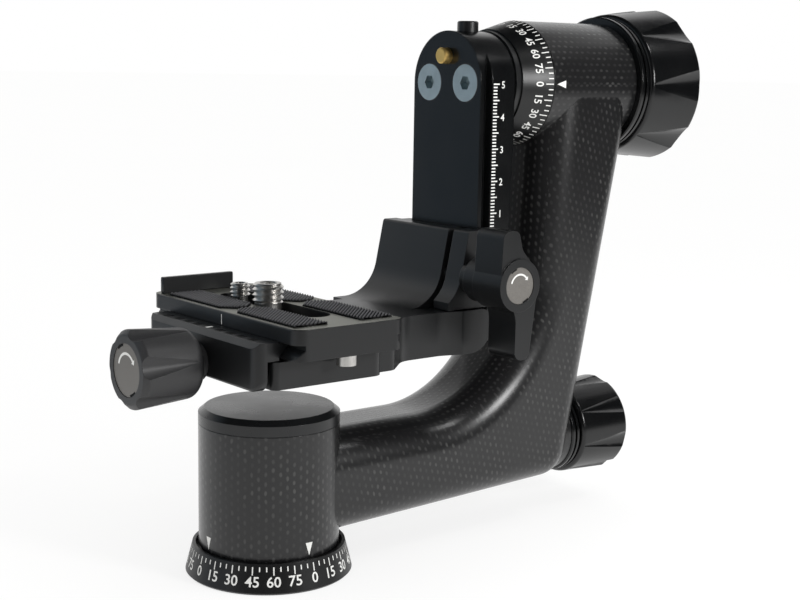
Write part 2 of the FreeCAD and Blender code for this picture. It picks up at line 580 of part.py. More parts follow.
def turned_base():
    """The graduated ring, the spindle it sits on and what holds the arm on the spindle."""
    ring = lathe("base_ring", "Z", [
        ("flange_radius + seat_gap", "0"), ("foot_radius - foot_chamfer", "0"),
        ("foot_radius", "foot_chamfer"), ("lip_radius", "lip_height"),
        ("ring_well_radius", "lip_height"), ("ring_well_radius", "ring_web_top"),
        ("boss_radius + seat_gap", "ring_web_top"), ("boss_radius + seat_gap", "flange_height"),
        ("flange_radius + seat_gap", "flange_height")])
    ring_holes = primitive(ring, "SubtractiveCylinder", "screw_hole", "Z", "0",
                           ("ring_screw_circle", "0"), Radius="ring_screw_radius", Height="lip_height")
    repeat(ring, [ring_holes], "Z_Axis", "ring_screw_count", "screw_holes")

    spindle = lathe("base_spindle", "Z", [
        ("tripod_bush_radius + seat_gap", "0"), ("flange_radius", "0"),
        ("flange_radius", "flange_height"), ("boss_radius", "flange_height"),
        ("boss_radius", "boss_height"), ("pan_shaft_radius", "boss_height"),
        ("pan_shaft_radius", "pan_shaft_top"), ("retainer_screw_radius", "pan_shaft_top"),
        ("retainer_screw_radius", "pan_shaft_top - retainer_screw_depth - blind_room"),
        ("0", "pan_shaft_top - retainer_screw_depth - blind_room"), ("0", "tripod_bush_length + blind_room"),
        ("tripod_bush_radius + seat_gap", "tripod_bush_length + blind_room")])
    hole = primitive(spindle, "SubtractiveCylinder", "screw_hole", "Z", "0",
                     ("ring_screw_circle", "0"), Radius="ring_screw_radius", Height="flange_height")
    sink = primitive(spindle, "SubtractiveCone", "screw_sink", "Z", "0", ("ring_screw_circle", "0"),
                     Radius1="ring_screw_head", Radius2="ring_screw_radius",
                     Height="ring_screw_head - ring_screw_radius")
    repeat(spindle, [hole, sink], "Z_Axis", "ring_screw_count", "screw_holes")

    lathe("tripod_bush", "Z",
          upright("tripod_thread_radius", "tripod_bush_radius", "0", "tripod_bush_length"))

    screws = new_body("base_ring_screws")
    head = primitive(screws, "AdditiveCone", "head", "Z", "0", ("ring_screw_circle", "0"),
                     Radius1="ring_screw_head - seat_gap", Radius2="ring_screw_radius - seat_gap",
                     Height="ring_screw_head - ring_screw_radius")
    shank = primitive(screws, "AdditiveCylinder", "shank", "Z", "0", ("ring_screw_circle", "0"),
                      Radius="ring_screw_radius - seat_gap", Height="ring_web_top")
    repeat(screws, [head, shank], "Z_Axis", "ring_screw_count", "set")

    lathe("pan_thrust_washer", "Z", upright("pan_shaft_radius + face_gap", "boss_radius",
                                            "boss_height", "boss_height + thrust_washer"))
    lathe("pan_retainer_washer", "Z", upright("retainer_screw_radius + face_gap", "retainer_radius",
                                              "pan_shaft_top", "pan_shaft_top + retainer_thickness"))
    head_foot = "pan_shaft_top + retainer_thickness"
    lathe("pan_retainer_screw", "Z", [
        ("0", "pan_shaft_top - retainer_screw_depth"),
        ("retainer_screw_radius - seat_gap", "pan_shaft_top - retainer_screw_depth"),
        ("retainer_screw_radius - seat_gap", head_foot), ("retainer_head_radius", head_foot),
        ("retainer_head_radius", head_foot + " + retainer_head_height"),
        ("0", head_foot + " + retainer_head_height")])


SLEEVE_FOOT = "boss_height + thrust_washer + seat_gap"


def pan_hub_metal():
    """The sleeve in the pan hub, its bushes and the cap on top."""
    sleeve = lathe("pan_sleeve", "Z", upright("pan_sleeve_bore", "pan_bore_radius - seat_gap / 2",
                                              SLEEVE_FOOT, "pan_hub_top - seat_gap"))
    primitive(sleeve, "SubtractiveCylinder", "shoe_hole", "X", "0", ("0", "pan_lock_height"),
              Radius="shoe_radius + face_gap", Height="pan_hub_radius")
    low = "boss_height + thrust_washer + face_gap"
    for label, foot in (("pan_bush_lower", low), ("pan_bush_upper", low + " + bush_spacing")):
        lathe(label, "Z", upright("pan_shaft_radius + running_gap", "pan_sleeve_bore - running_gap",
                                  foot, foot + " + bush_length"))
    lathe("hub_cap", "Z", [
        ("0", "pan_hub_top + cap_hollow"), ("pan_sleeve_bore - cap_spigot_wall", "pan_hub_top + cap_hollow"),
        ("pan_sleeve_bore - cap_spigot_wall", "pan_hub_top - cap_spigot"),
        ("pan_sleeve_bore - seat_gap", "pan_hub_top - cap_spigot"),
        ("pan_sleeve_bore - seat_gap", "pan_hub_top"), ("pan_hub_radius", "pan_hub_top"),
        ("pan_hub_radius", "pan_hub_top + cap_side"),
        ("cap_flat_radius", "pan_hub_top + cap_side + cap_bevel"),
        ("0", "pan_hub_top + cap_side + cap_bevel")])


def moulded_arm():
    """The L-shaped moulding: side profile, leaning flanks, two edge radii and three hubs."""
    arm = new_body("carbon_arm")
    side = draw(new_sketch(arm, "XZ_Plane", "side"), [
        ("0", "arm_heel"), ("arm_corner_x", "arm_corner_z", "arm_corner_radius"),
        ("arm_shoulder_x", "arm_shoulder_z", "arm_shoulder_radius"), ("arm_shoulder_x", "arm_rise"),
        ("arm_neck_x", "arm_rise"), ("arm_bend_x", "arm_top", "arm_bend_radius"), ("0", "arm_top")])
    pad(arm, side, "2 * arm_head_width + overrun", "blank", both_ways=True)
    flanks = new_sketch(arm, "YZ_Plane", "flanks")
    for sign, name in (("", "near"), ("-", "far")):
        draw(flanks, [(f"{sign}(arm_foot_width)", "arm_corner_z"), (f"{sign}(arm_head_width)", "arm_rise"),
                      (f"{sign}(arm_head_width)", "arm_rise + overrun"),
                      (f"{sign}(arm_head_width + overrun)", "arm_rise + overrun"),
                      (f"{sign}(arm_head_width + overrun)", "0"), (f"{sign}(arm_foot_width)", "0")], name)
    pocket(arm, flanks, "drafted")

    def on_flank(edge):
        middle = edge.CenterOfMass
        top = edge.BoundBox.ZMax
        low = edge.BoundBox.ZMin
        level = top - low < SAME and abs(top - value("arm_rise")) < SAME
        upright_end = edge.BoundBox.XMax < SAME
        return abs(middle.y) > value("arm_foot_width") - NEAR and not level and not upright_end

    def is_inner(edge):
        box = edge.BoundBox
        middle_x = (box.XMin + box.XMax) / 2
        middle_z = (box.ZMin + box.ZMax) / 2
        return middle_z > value("arm_top") - NEAR and middle_x < value("arm_neck_x")

    round_edges(arm, "arm_outer_round", lambda edge: on_flank(edge) and not is_inner(edge), "outer_round")
    round_edges(arm, "arm_inner_round", lambda edge: on_flank(edge) and is_inner(edge), "inner_round")

    primitive(arm, "AdditiveCylinder", "pan_hub", "Z", "hub_foot", ("0", "0"),
              Radius="pan_hub_radius", Height="pan_hub_top - hub_foot")
    primitive(arm, "AdditiveCylinder", "tilt_hub", "X", "tilt_hub_front", ("0", "tilt_height"),
              Radius="tilt_hub_radius", Height="tilt_hub_back - tilt_hub_front")
    primitive(arm, "AdditiveCylinder", "lock_boss", "X", "pan_boss_end - pan_boss_length",
              ("0", "pan_lock_height"), Radius="pan_boss_radius", Height="pan_boss_length")
    primitive(arm, "SubtractiveCylinder", "spot_face", "X", "pan_boss_end", ("0", "pan_lock_height"),
              Radius="spot_face_radius", Height="overrun")
    primitive(arm, "SubtractiveCylinder", "pan_bore", "Z", "0", ("0", "0"),
              Radius="pan_bore_radius", Height="pan_hub_top + overrun")
    primitive(arm, "SubtractiveCylinder", "tilt_bore", "X", "tilt_hub_front - overrun",
              ("0", "tilt_height"), Radius="tilt_bore_radius",
              Height="tilt_hub_back - tilt_hub_front + 2 * overrun")
    primitive(arm, "SubtractiveCylinder", "rod_bore", "X", "0", ("0", "pan_lock_height"),
              Radius="rod_bore_radius", Height="pan_boss_end + overrun")
    return arm


TILT_AXIS = ("0", "0", "tilt_height")
PAN_LOCK_AXIS = ("0", "0", "pan_lock_height")


def tilt_hub_metal():
    """The sleeve in the tilt hub and its bushes."""
    sleeve_front = "tilt_washer_front + tilt_washer_length + seat_gap"
    lathe("tilt_sleeve", "X", tube(sleeve_front, "tilt_hub_back - 2 * face_gap",
                                   "tilt_bore_radius - seat_gap / 2", "tilt_sleeve_bore"), TILT_AXIS)
    lathe("tilt_bush_front", "X",
          tube(sleeve_front + " + tilt_bush_inset", sleeve_front + " + tilt_bush_inset + tilt_bush_length",
               "tilt_sleeve_bore - running_gap", "tilt_shaft_radius + running_gap"), TILT_AXIS)
    lathe("tilt_bush_rear", "X",
          tube("tilt_bush_back - tilt_rear_bush_length", "tilt_bush_back",
               "tilt_sleeve_bore - running_gap", "tilt_shaft_radius + running_gap"), TILT_AXIS)
    lathe("tilt_thrust_washer", "X",
          tube("tilt_washer_front", "tilt_washer_front + tilt_washer_length",
               "tilt_bore_radius - face_gap", "tilt_shaft_radius + face_gap"), TILT_AXIS)


def grooved_ring(label, start, length, radius, bore, centre):
    """A ring with one groove around it, between a hub and its knob."""
    middle = f"{start} + {length} / 2"
    ring = lathe(label, "X", [
        (start, bore), (f"{start} + {length}", bore), (f"{start} + {length}", radius),
        (f"{middle} + collar_groove / 2", radius),
        (f"{middle} + collar_groove / 2", f"{radius} - collar_groove"),
        (f"{middle} - collar_groove / 2", f"{radius} - collar_groove"),
        (f"{middle} - collar_groove / 2", radius),
        (start, radius)], centre)
    break_edges(ring, "X", [(start, radius), (f"{start} + {length}", radius)])


def turn_about_axis(body, angle):
    """Turn a body about its own X axis."""
    body.Placement = FreeCAD.Placement(body.Placement.Base, FreeCAD.Rotation(FreeCAD.Vector(1, 0, 0), 1))
    bind(body, "Placement.Rotation.Angle", angle)


def cut_flutes(body, count, start, lift, angle, towards=1, **cone):
    """Cone-shaped flutes around X: the tip is lifted off the axis, and the cone leans towards +X or -X."""
    flute = primitive(body, "SubtractiveCone", "flute", "Z", "0", ("0", "0"), **cone)
    leaning = FreeCAD.Rotation(FreeCAD.Vector(0, towards, 0), 1)
    flute.AttachmentOffset = FreeCAD.Placement(FreeCAD.Vector(), leaning)
    bind(flute, "AttachmentOffset.Base.x", start)
    bind(flute, "AttachmentOffset.Base.z", lift)
    bind(flute, "AttachmentOffset.Rotation.Angle", angle)
    repeat(body, [flute], "X_Axis", count, "flutes")


def lock_knob(label, prefix, bore_end, centre, clock=None):
    """A fluted knob that widens outwards, bored for its insert and recessed for its cap."""
    front, rim, end = f"{prefix}_front", f"{prefix}_rim", f"{prefix}_end"
    front_radius, rim_radius = f"{prefix}_front_radius", f"{prefix}_rim_radius"
    cap_floor = f"{end} - knob_cap_depth"
    body = lathe(label, "X", [
        (front, "insert_radius"), (front, front_radius, "knob_round"), (rim, rim_radius, "knob_round"),
        (end, f"{rim_radius} - knob_shoulder", "knob_round"), (end, f"{rim_radius} * knob_cap_share"),
        (cap_floor, f"{rim_radius} * knob_cap_share"), (cap_floor, "0"), (bore_end, "0"),
        (bore_end, "insert_radius")], centre)
    length = f"({end} - {front}) * flute_length_share"
    cut_flutes(body, "flute_count", Radius1=f"{rim_radius} * flute_tip_share",
               Radius2=f"{rim_radius} * flute_mouth_share", Height=length,
               start=f"{front} + flute_inset", lift=f"{front_radius} + {rim_radius} * flute_lift_share",
               angle=f"90 deg - atan(({rim_radius} * flute_axis_share - {front_radius}) / ({length}))")
    if clock:
        turn_about_axis(body, clock)
    return body


def knob_cap(label, prefix, centre):
    """The flush disc in the end of a lock knob."""
    edge = f"{prefix}_rim_radius * knob_cap_share - seat_gap"
    floor = f"{prefix}_end - knob_cap_depth"
    disc = lathe(label, "X", [(floor, "0"), (floor, edge), (f"{prefix}_end - loose_gap", edge),
                              (f"{prefix}_end - loose_gap", "0")], centre)
    break_edges(disc, "X", [(f"{prefix}_end - loose_gap", edge)])


def pan_lock():
    """Knob, insert, rod and shoe that press on the pan spindle."""
    grooved_ring("pan_knob_collar", "pan_boss_end", "collar_length", "pan_collar_radius",
                 "rod_radius + loose_gap", PAN_LOCK_AXIS)
    lathe("pan_rod_bush", "X", tube("pan_boss_end - rod_bush_length", "pan_boss_end",
                                    "rod_bore_radius - seat_gap", "rod_radius + running_gap"), PAN_LOCK_AXIS)
    bore_end = "pan_rod_end + rod_room"
    lock_knob("pan_lock_knob", "pan_knob", bore_end, PAN_LOCK_AXIS, "pan_knob_clock")
    lathe("pan_knob_insert", "X", tube("pan_knob_front", bore_end, "insert_radius - seat_gap",
                                       "rod_radius + running_gap"), PAN_LOCK_AXIS)
    knob_cap("pan_knob_cap", "pan_knob", PAN_LOCK_AXIS)
    lathe("pan_brake_rod", "X", tube("shoe_end - shoe_socket", "pan_rod_end", "rod_radius"), PAN_LOCK_AXIS)
    shoe = lathe("pan_brake_shoe", "X", [
        ("shoe_front", "0"), ("shoe_end - shoe_socket", "0"),
        ("shoe_end - shoe_socket", "rod_radius + seat_gap"), ("shoe_end", "rod_radius + seat_gap"),
        ("shoe_end", "shoe_radius"), ("shoe_front", "shoe_radius")], PAN_LOCK_AXIS)
    primitive(shoe, "SubtractiveCylinder", "seat", "Z", "-shoe_radius - overrun", ("0", "0"),
              Radius="pan_shaft_radius + loose_gap", Height="2 * (shoe_radius + overrun)")


def tilt_lock():
    """Knob, insert and pressure plate that press on the tilt spindle's friction disc."""
    grooved_ring("tilt_knob_collar", "tilt_hub_back", "tilt_collar_length", "tilt_collar_radius",
                 "plate_stem_radius + face_gap", TILT_AXIS)
    bore_end = "plate_stem_end + rod_room"
    lock_knob("tilt_lock_knob", "tilt_knob", bore_end, TILT_AXIS)
    lathe("tilt_knob_insert", "X", tube("tilt_knob_front", bore_end, "insert_radius - seat_gap",
                                        "plate_stem_radius + running_gap"), TILT_AXIS)
    knob_cap("tilt_knob_cap", "tilt_knob", TILT_AXIS)
    plate_back = "plate_disc_front + plate_disc_length"
    lathe("tilt_pressure_plate", "X", [
        ("plate_disc_front", "0"), ("plate_disc_front", "plate_disc_radius"),
        (plate_back, "plate_disc_radius"), (plate_back, "plate_stem_radius"),
        ("plate_stem_end", "plate_stem_radius"),
        ("plate_stem_end", "0")], TILT_AXIS)


def sunk_screws(body, kind, name, start, head, shank, length, spread, height):
    """A countersunk head and its shank along X, and its twin across the middle."""
    cone = primitive(body, kind + "Cone", name + "_head", "X", start, (spread, height),
                     Radius1=head, Radius2=shank, Height=f"({head}) - ({shank})")
    stem = primitive(body, kind + "Cylinder", name + "_shank", "X", start, (spread, height),
                     Radius=shank, Height=length)
    return mirror(body, [cone, stem], "XZ_Plane", name + "_pair")


def hexagon_outline(across, x, y):
    """A hexagon of a width across its flats, about a point."""
    reach = f"{across} / 2 / cos(30)"
    return [(f"{x} + {reach} * cos({60 * turn})", f"{y} + {reach} * sin({60 * turn})") for turn in range(6)]


def swing_arm_group():
    """The dovetail rail, the tilt spindle and what turns with them."""
    rail = new_body("swing_arm")
    face = draw(new_sketch(rail, "YZ_Plane", "face", "rail_front"), [
        ("-rail_half", "rail_bottom", "rail_foot_round"), ("rail_half", "rail_bottom", "rail_foot_round"),
        ("rail_half", "tilt_height + rail_half", "rail_half - straight_left"),
        ("-rail_half", "tilt_height + rail_half", "rail_half - straight_left")])
    pad(rail, face, "rail_back - rail_front", "blank")
    neck = "rail_front + rail_edge + rail_undercut"
    grooves = new_sketch(rail, "XY_Plane", "grooves")
    for sign, name in (("", "right"), ("-", "left")):
        draw(grooves, [
            ("rail_front + rail_edge", f"{sign}rail_half"),
            (neck, f"{sign}(rail_half - rail_undercut)"),
            (neck + " + groove_floor", f"{sign}(rail_half - rail_undercut)"),
            (neck + " + 2 * groove_floor", f"{sign}rail_half"),
            (neck + " + 2 * groove_floor", f"{sign}(rail_half + overrun)"),
            ("rail_front + rail_edge", f"{sign}(rail_half + overrun)")], name)
    pocket(rail, grooves, "dovetail")
    taper = draw(new_sketch(rail, "XZ_Plane", "taper"), [
        ("rail_back", "rail_taper_top"), ("rail_foot_back", "rail_bottom"),
        ("rail_foot_back", "rail_bottom - overrun"), ("rail_back + overrun", "rail_bottom - overrun"),
        ("rail_back + overrun", "rail_taper_top")])
    pocket(rail, taper, "tapered_back")
    sunk_screws(rail, "Subtractive", "screw_hole", "rail_front", "arm_screw_head", "arm_screw_radius",
                "rail_back - rail_front", "arm_screw_spread", "tilt_height")
    primitive(rail, "SubtractiveCylinder", "pin_bore", "X", "rail_front - overrun", ("0", "stop_pin_height"),
              Radius="stop_pin_radius + running_gap",
              Height="stop_pin_end + button_travel + loose_gap - rail_front + overrun")
    primitive(rail, "SubtractiveCylinder", "button_bore", "Z",
              "button_foot - button_travel - cam_root - loose_gap", ("button_place", "0"),
              Radius="button_radius + running_gap", Height="rail_half")

    stop_pin = new_body("stop_pin", ("0", "0", "stop_pin_height"))
    primitive(stop_pin, "AdditiveCylinder", "shank", "X", "rail_front - stop_pin_reach", ("0", "0"),
              Radius="stop_pin_radius", Height="stop_pin_end - rail_front + stop_pin_reach")
    break_edges(stop_pin, "X", [("rail_front - stop_pin_reach", "stop_pin_radius")])
    slack = "(cam_width / 2 + cam_gap)"
    slot = draw(new_sketch(stop_pin, "XZ_Plane", "slot"), [
        (f"cam_place - cam_slot_half - {slack}", "-cam_slot_half"),
        (f"cam_place - cam_slot_half + {slack}", "-cam_slot_half"),
        (f"cam_place + cam_slot_half + {slack}", "cam_slot_half"),
        (f"cam_place + cam_slot_half - {slack}", "cam_slot_half")])
    pocket(stop_pin, slot, "cam_slot", "2 * (cam_half + cam_gap)")

    button = new_body("release_button", ("button_place", "0", "0"))
    primitive(button, "AdditiveCylinder", "head", "Z", "button_foot", ("0", "0"),
              Radius="button_radius", Height="button_top - button_foot")
    break_edges(button, "Z", [("button_top", "button_radius")])
    foot = "cam_place - button_place + cam_foot - stop_pin_height"
    root = "cam_place - button_place + button_foot + cam_root - stop_pin_height"
    cam = draw(new_sketch(button, "XZ_Plane", "cam"), [
        (foot + " - cam_width / 2", "cam_foot"), (foot + " + cam_width / 2", "cam_foot"),
        (root + " + cam_width / 2", "button_foot + cam_root"),
        (root + " - cam_width / 2", "button_foot + cam_root")])
    pad(button, cam, "2 * cam_half", "cam_bar", both_ways=True)

    lathe("tilt_spacer_disc", "X", tube("spacer_front", "scale_front - seat_gap", "spacer_radius",
                                        "spindle_flange_radius + seat_gap"), TILT_AXIS)
    counterbore = "tilt_bore_radius + loose_gap"
    lathe("tilt_scale_ring", "X", [
        ("scale_front", "spindle_flange_radius + seat_gap"), ("scale_front", "scale_front_radius"),
        ("scale_back", "scale_back_radius"), ("scale_back", counterbore),
        ("tilt_washer_front - loose_gap", counterbore),
        ("tilt_washer_front - loose_gap", "spindle_flange_radius + seat_gap")], TILT_AXIS)
    spindle = lathe("tilt_spindle", "X", [
        ("rail_back", "0"), ("rail_back", "spindle_flange_radius"),
        ("spindle_flange_back", "spindle_flange_radius"), ("spindle_flange_back", "tilt_shaft_radius"),
        ("tilt_bush_back", "tilt_shaft_radius"), ("tilt_bush_back", "spindle_stub_radius"),
        ("friction_disc_front + friction_disc_length", "spindle_stub_radius"),
        ("friction_disc_front + friction_disc_length", "0")], TILT_AXIS)
    hole = primitive(spindle, "SubtractiveCylinder", "screw_hole", "X", "rail_back - overrun",
                     ("arm_screw_spread", "0"), Radius="arm_screw_radius",
                     Height="arm_screw_end - rail_back + overrun + blind_room")
    mirror(spindle, [hole], "XZ_Plane", "screw_holes")

    screws = new_body("swing_arm_screws")
    sunk_screws(screws, "Additive", "set", "rail_front", "arm_screw_head - seat_gap",
                "arm_screw_radius - seat_gap", "arm_screw_end - rail_front",
                "arm_screw_spread", "tilt_height")
    sockets = new_sketch(screws, "YZ_Plane", "sockets", "rail_front")
    for sign, name in (("-", "near"), ("", "far")):
        draw(sockets, hexagon_outline("socket_across", f"{sign}arm_screw_spread", "tilt_height"), name)
    pocket(screws, sockets, "hexagon_sockets", "socket_depth", both_ways=False, reverse=True)

    nut = new_body("tilt_spindle_nut", TILT_AXIS)
    hexagon = draw(new_sketch(nut, "YZ_Plane", "hexagon", "tilt_bush_back + face_gap"),
                   hexagon_outline("nut_across", "0", "0"))
    pad(nut, hexagon, "nut_length", "blank")
    primitive(nut, "SubtractiveCylinder", "thread", "X", "tilt_bush_back - overrun", ("0", "0"),
              Radius="spindle_stub_radius + seat_gap", Height="nut_length + 2 * overrun")
    lathe("tilt_friction_disc", "X",
          tube("friction_disc_front", "friction_disc_front + friction_disc_length",
               "plate_disc_radius - 2 * face_gap", "spindle_stub_radius + seat_gap"), TILT_AXIS)


WALL_FRONT = [
    ("wall_lean_x", "wall_top", "wall_front_round"), ("wall_root_x", "deck_top", "wall_fillet"),
    ("wall_root_x - wall_foot", "deck_top"), ("wall_root_x - wall_foot", "deck_top - wall_sink")]


def wall_profile(body, offset):
    """Side profile of the bracket's wall, which the rail jaw continues."""
    back = "rail_front - rail_front_gap"
    return draw(new_sketch(body, "XZ_Plane", "wall_side", offset), [
        (back, "deck_top - wall_sink"), (back, "wall_top", "wall_back_round"), *WALL_FRONT])


def rail_way(sign):
    """Half outline of the space that the rail's flange needs between the hooks."""
    side = "rail_half + rail_front_gap"
    lip = "rail_front + rail_edge + 2 * face_gap - rail_front_gap"
    tip = "hook_back + face_gap"
    return [(lip, f"{sign}({side})"), (tip, f"{sign}({side} - ({tip} - ({lip})))")]


def rounded_corner(body, name, level, radius, downwards, offset="0"):
    """What lies outside a rounded back corner of the hooks, at the level of their bottom or top."""
    inner_x = f"hook_back - {radius} - straight_left"
    upwards = "" if downwards else "-"
    near_z = f"{level} {upwards or '+'} ({radius} + straight_left)"
    far_z = f"{level} {downwards or '+'} overrun"
    return draw(new_sketch(body, "XZ_Plane", name, offset), [
        ("hook_back", near_z), ("hook_back", level, radius), (inner_x, level), (inner_x, far_z),
        ("hook_back + overrun", far_z), ("hook_back + overrun", near_z)])


def platform_group():
    """The bracket with its wall on the rail and its plate clamp, and the jaw on the rail."""
    bracket = new_body("platform_bracket")
    deck = draw(new_sketch(bracket, "XY_Plane", "deck", "deck_bottom"), [
        ("plate_back - deck_root", "-fixed_jaw_half"), ("fixed_jaw_back", "-fixed_jaw_half", "deck_corner"),
        ("deck_neck_x", "-deck_half", "deck_neck_round"), ("deck_neck_end", "-deck_half", "deck_neck_round"),
        ("deck_flare_x", "-hook_side", "deck_flare_round"), ("hook_back", "-hook_side", "hook_corner"),
        ("hook_back", "hook_side", "hook_corner"), ("deck_flare_x", "hook_side", "deck_flare_round"),
        ("deck_neck_end", "deck_half", "deck_neck_round"), ("deck_neck_x", "deck_half", "deck_neck_round"),
        ("fixed_jaw_back", "fixed_jaw_half", "deck_corner"), ("plate_back - deck_root", "fixed_jaw_half")])
    pad(bracket, deck, "deck_top - deck_bottom", "deck_blank")
    base = draw(new_sketch(bracket, "XY_Plane", "base", "deck_bottom"), [
        ("clamp_end", "-clamp_half", "clamp_corner"),
        ("plate_back - clamp_root", "-clamp_half", "deck_corner"),
        ("plate_back - clamp_root", "clamp_half", "deck_corner"),
        ("clamp_end", "clamp_half", "clamp_corner")])
    pad(bracket, base, "clamp_top - deck_bottom", "clamp_base")
    crown = rounded_corner(bracket, "crown", "deck_top", "hook_crown", "", "hook_side")
    pocket(bracket, crown, "round_crown", "2 * (hook_side - rail_half)")
    pad(bracket, wall_profile(bracket, "slot_side"), "wall_side + slot_side", "wall", reverse=True)
    hook = draw(new_sketch(bracket, "XY_Plane", "hook", "deck_bottom"), [
        ("rail_front - rail_front_gap - hook_root", "rail_half"), ("hook_back", "rail_half"),
        ("hook_back", "hook_side", "hook_corner"), ("rail_front - rail_front_gap - hook_root", "hook_side")])
    pad(bracket, hook, "wall_top - deck_bottom", "fixed_hook")
    pocket(bracket, rounded_corner(bracket, "heel", "deck_bottom", "hook_heel", "-"), "round_heel")
    front = "rail_front - rail_front_gap"
    near, tip = rail_way("")
    way = draw(new_sketch(bracket, "XY_Plane", "way"), [
        (front, near[1]), near, tip, ("hook_back + overrun", tip[1]),
        ("hook_back + overrun", f"-({near[1]})"),
        (front, f"-({near[1]})")])
    pocket(bracket, way, "rail_way")
    dovetail = draw(new_sketch(bracket, "XZ_Plane", "dovetail"), [
        ("plate_back - overrun", "clamp_top"), ("plate_back + face_gap * 2", "clamp_top"),
        ("plate_back + face_gap * 2", "plate_bottom + plate_edge"),
        ("plate_back + face_gap * 2 - plate_undercut", "plate_bottom + plate_edge + plate_undercut"),
        ("plate_back + face_gap * 2 - plate_undercut", "plate_slab - face_gap * 2"),
        ("plate_back + loose_gap", "plate_slab - face_gap * 2"),
        ("plate_back + loose_gap", "deck_top + overrun"), ("plate_back - overrun", "deck_top + overrun")])
    pocket(bracket, dovetail, "fixed_jaw")
    primitive(bracket, "SubtractiveCylinder", "lever_thread", "Y", "lever_screw_tip + blind_room",
              ("lever_x", "lever_height"), Radius="lever_screw_radius + running_gap",
              Height="lever_screw_tip + lever_outer")
    primitive(bracket, "SubtractiveCylinder", "clamp_thread", "X", "clamp_end - overrun",
              ("0", "qr_axis_height"), Radius="qr_screw_radius + running_gap",
              Height="qr_screw_end - clamp_end + overrun + blind_room")
    guide = primitive(bracket, "SubtractiveCylinder", "guide_hole", "X", "clamp_end - overrun",
                      ("guide_pin_spread", "qr_axis_height"), Radius="guide_pin_radius + running_gap",
                      Height="guide_pin_end - clamp_end + overrun + blind_room")
    mirror(bracket, [guide], "XZ_Plane", "guide_holes")

    jaw = new_body("rail_jaw")
    pad(jaw, wall_profile(jaw, "slot_side + slot_width"), "jaw_side - slot_side - slot_width", "wall")
    near, tip = rail_way("-")
    lip = draw(new_sketch(jaw, "XY_Plane", "lip", "jaw_foot_z"), [
        (front + " - hook_root", near[1]), near,
        ("hook_back", f"-(rail_half + rail_front_gap - (hook_back - ({near[0]})))"),
        ("hook_back", "-jaw_side", "hook_corner"), (front + " - hook_root", "-jaw_side")])
    pad(jaw, lip, "wall_top - jaw_foot_z", "lip")
    foot = draw(new_sketch(jaw, "XZ_Plane", "foot"), [
        ("jaw_foot_x - wall_foot", "jaw_foot_z - overrun"), ("hook_back + overrun", "jaw_foot_z - overrun"),
        ("hook_back + overrun", "jaw_foot_z"), ("jaw_foot_x", "jaw_foot_z"),
        ("jaw_foot_x", "jaw_foot_z + jaw_foot_height"),
        ("jaw_foot_x - wall_foot", "jaw_foot_z + jaw_foot_height")])
    pocket(jaw, foot, "foot_cut")
    primitive(jaw, "SubtractiveCylinder", "screw_hole", "Y", "0", ("lever_x", "lever_height"),
              Radius="lever_screw_radius + face_gap", Height="lever_outer")


def rail_lever_group():
    """The S-shaped lever that clamps the rail jaw, its cap and its screw."""
    centre = ("lever_x", "0", "lever_height")
    lever = lathe("rail_lever", "Y", [
        ("-lever_outer + cap_thickness", "0"),
        ("-lever_outer + cap_thickness", "lever_cap_radius + seat_gap"),
        ("-lever_outer", "lever_cap_radius + seat_gap"), ("-lever_outer", "lever_hub_radius"),
        ("-lever_wing", "lever_hub_radius"), ("-lever_wing", "lever_boss_radius"),
        ("-lever_inner", "lever_boss_radius"), ("-lever_inner", "lever_neck_radius"),
        ("-jaw_side - face_gap", "lever_neck_radius"), ("-jaw_side - face_gap", "0")], centre)
    wings = draw(new_sketch(lever, "XZ_Plane", "wings", "lever_wing"), [
        ("wing_top_left", "wing_top", "wing_tip_round"), ("wing_left", "0", "wing_round"),
        ("wing_left_crook", "wing_left_crook_height", "wing_left_crook_round"),
        ("wing_bottom_left", "wing_bottom", "wing_tip_round"),
        ("wing_bottom_right", "wing_bottom", "wing_tip_round"),
        ("wing_right", "wing_right_height", "wing_round"),
        ("wing_right_crook", "wing_right_crook_height", "wing_right_crook_round"),
        ("wing_top_right", "wing_top", "wing_tip_round")])
    pad(lever, wings, "lever_outer - lever_wing - wing_step", "wings")
    primitive(lever, "SubtractiveCylinder", "cap_seat", "Y", "-lever_outer + cap_thickness", ("0", "0"),
              Radius="lever_cap_radius + seat_gap", Height="overrun")
    primitive(lever, "SubtractiveCylinder", "screw_bore", "Y", "-jaw_side + overrun", ("0", "0"),
              Radius="lever_screw_radius + seat_gap",
              Height="lever_outer - lever_screw_cover - jaw_side + overrun")
    lathe("rail_lever_cap", "Y", tube("-lever_outer + 2 * face_gap", "-lever_outer + cap_thickness",
                                      "lever_cap_radius"), centre)
    lathe("rail_lever_screw", "Y", tube("-lever_outer + lever_screw_cover", "lever_screw_tip",
                                        "lever_screw_radius"), centre)


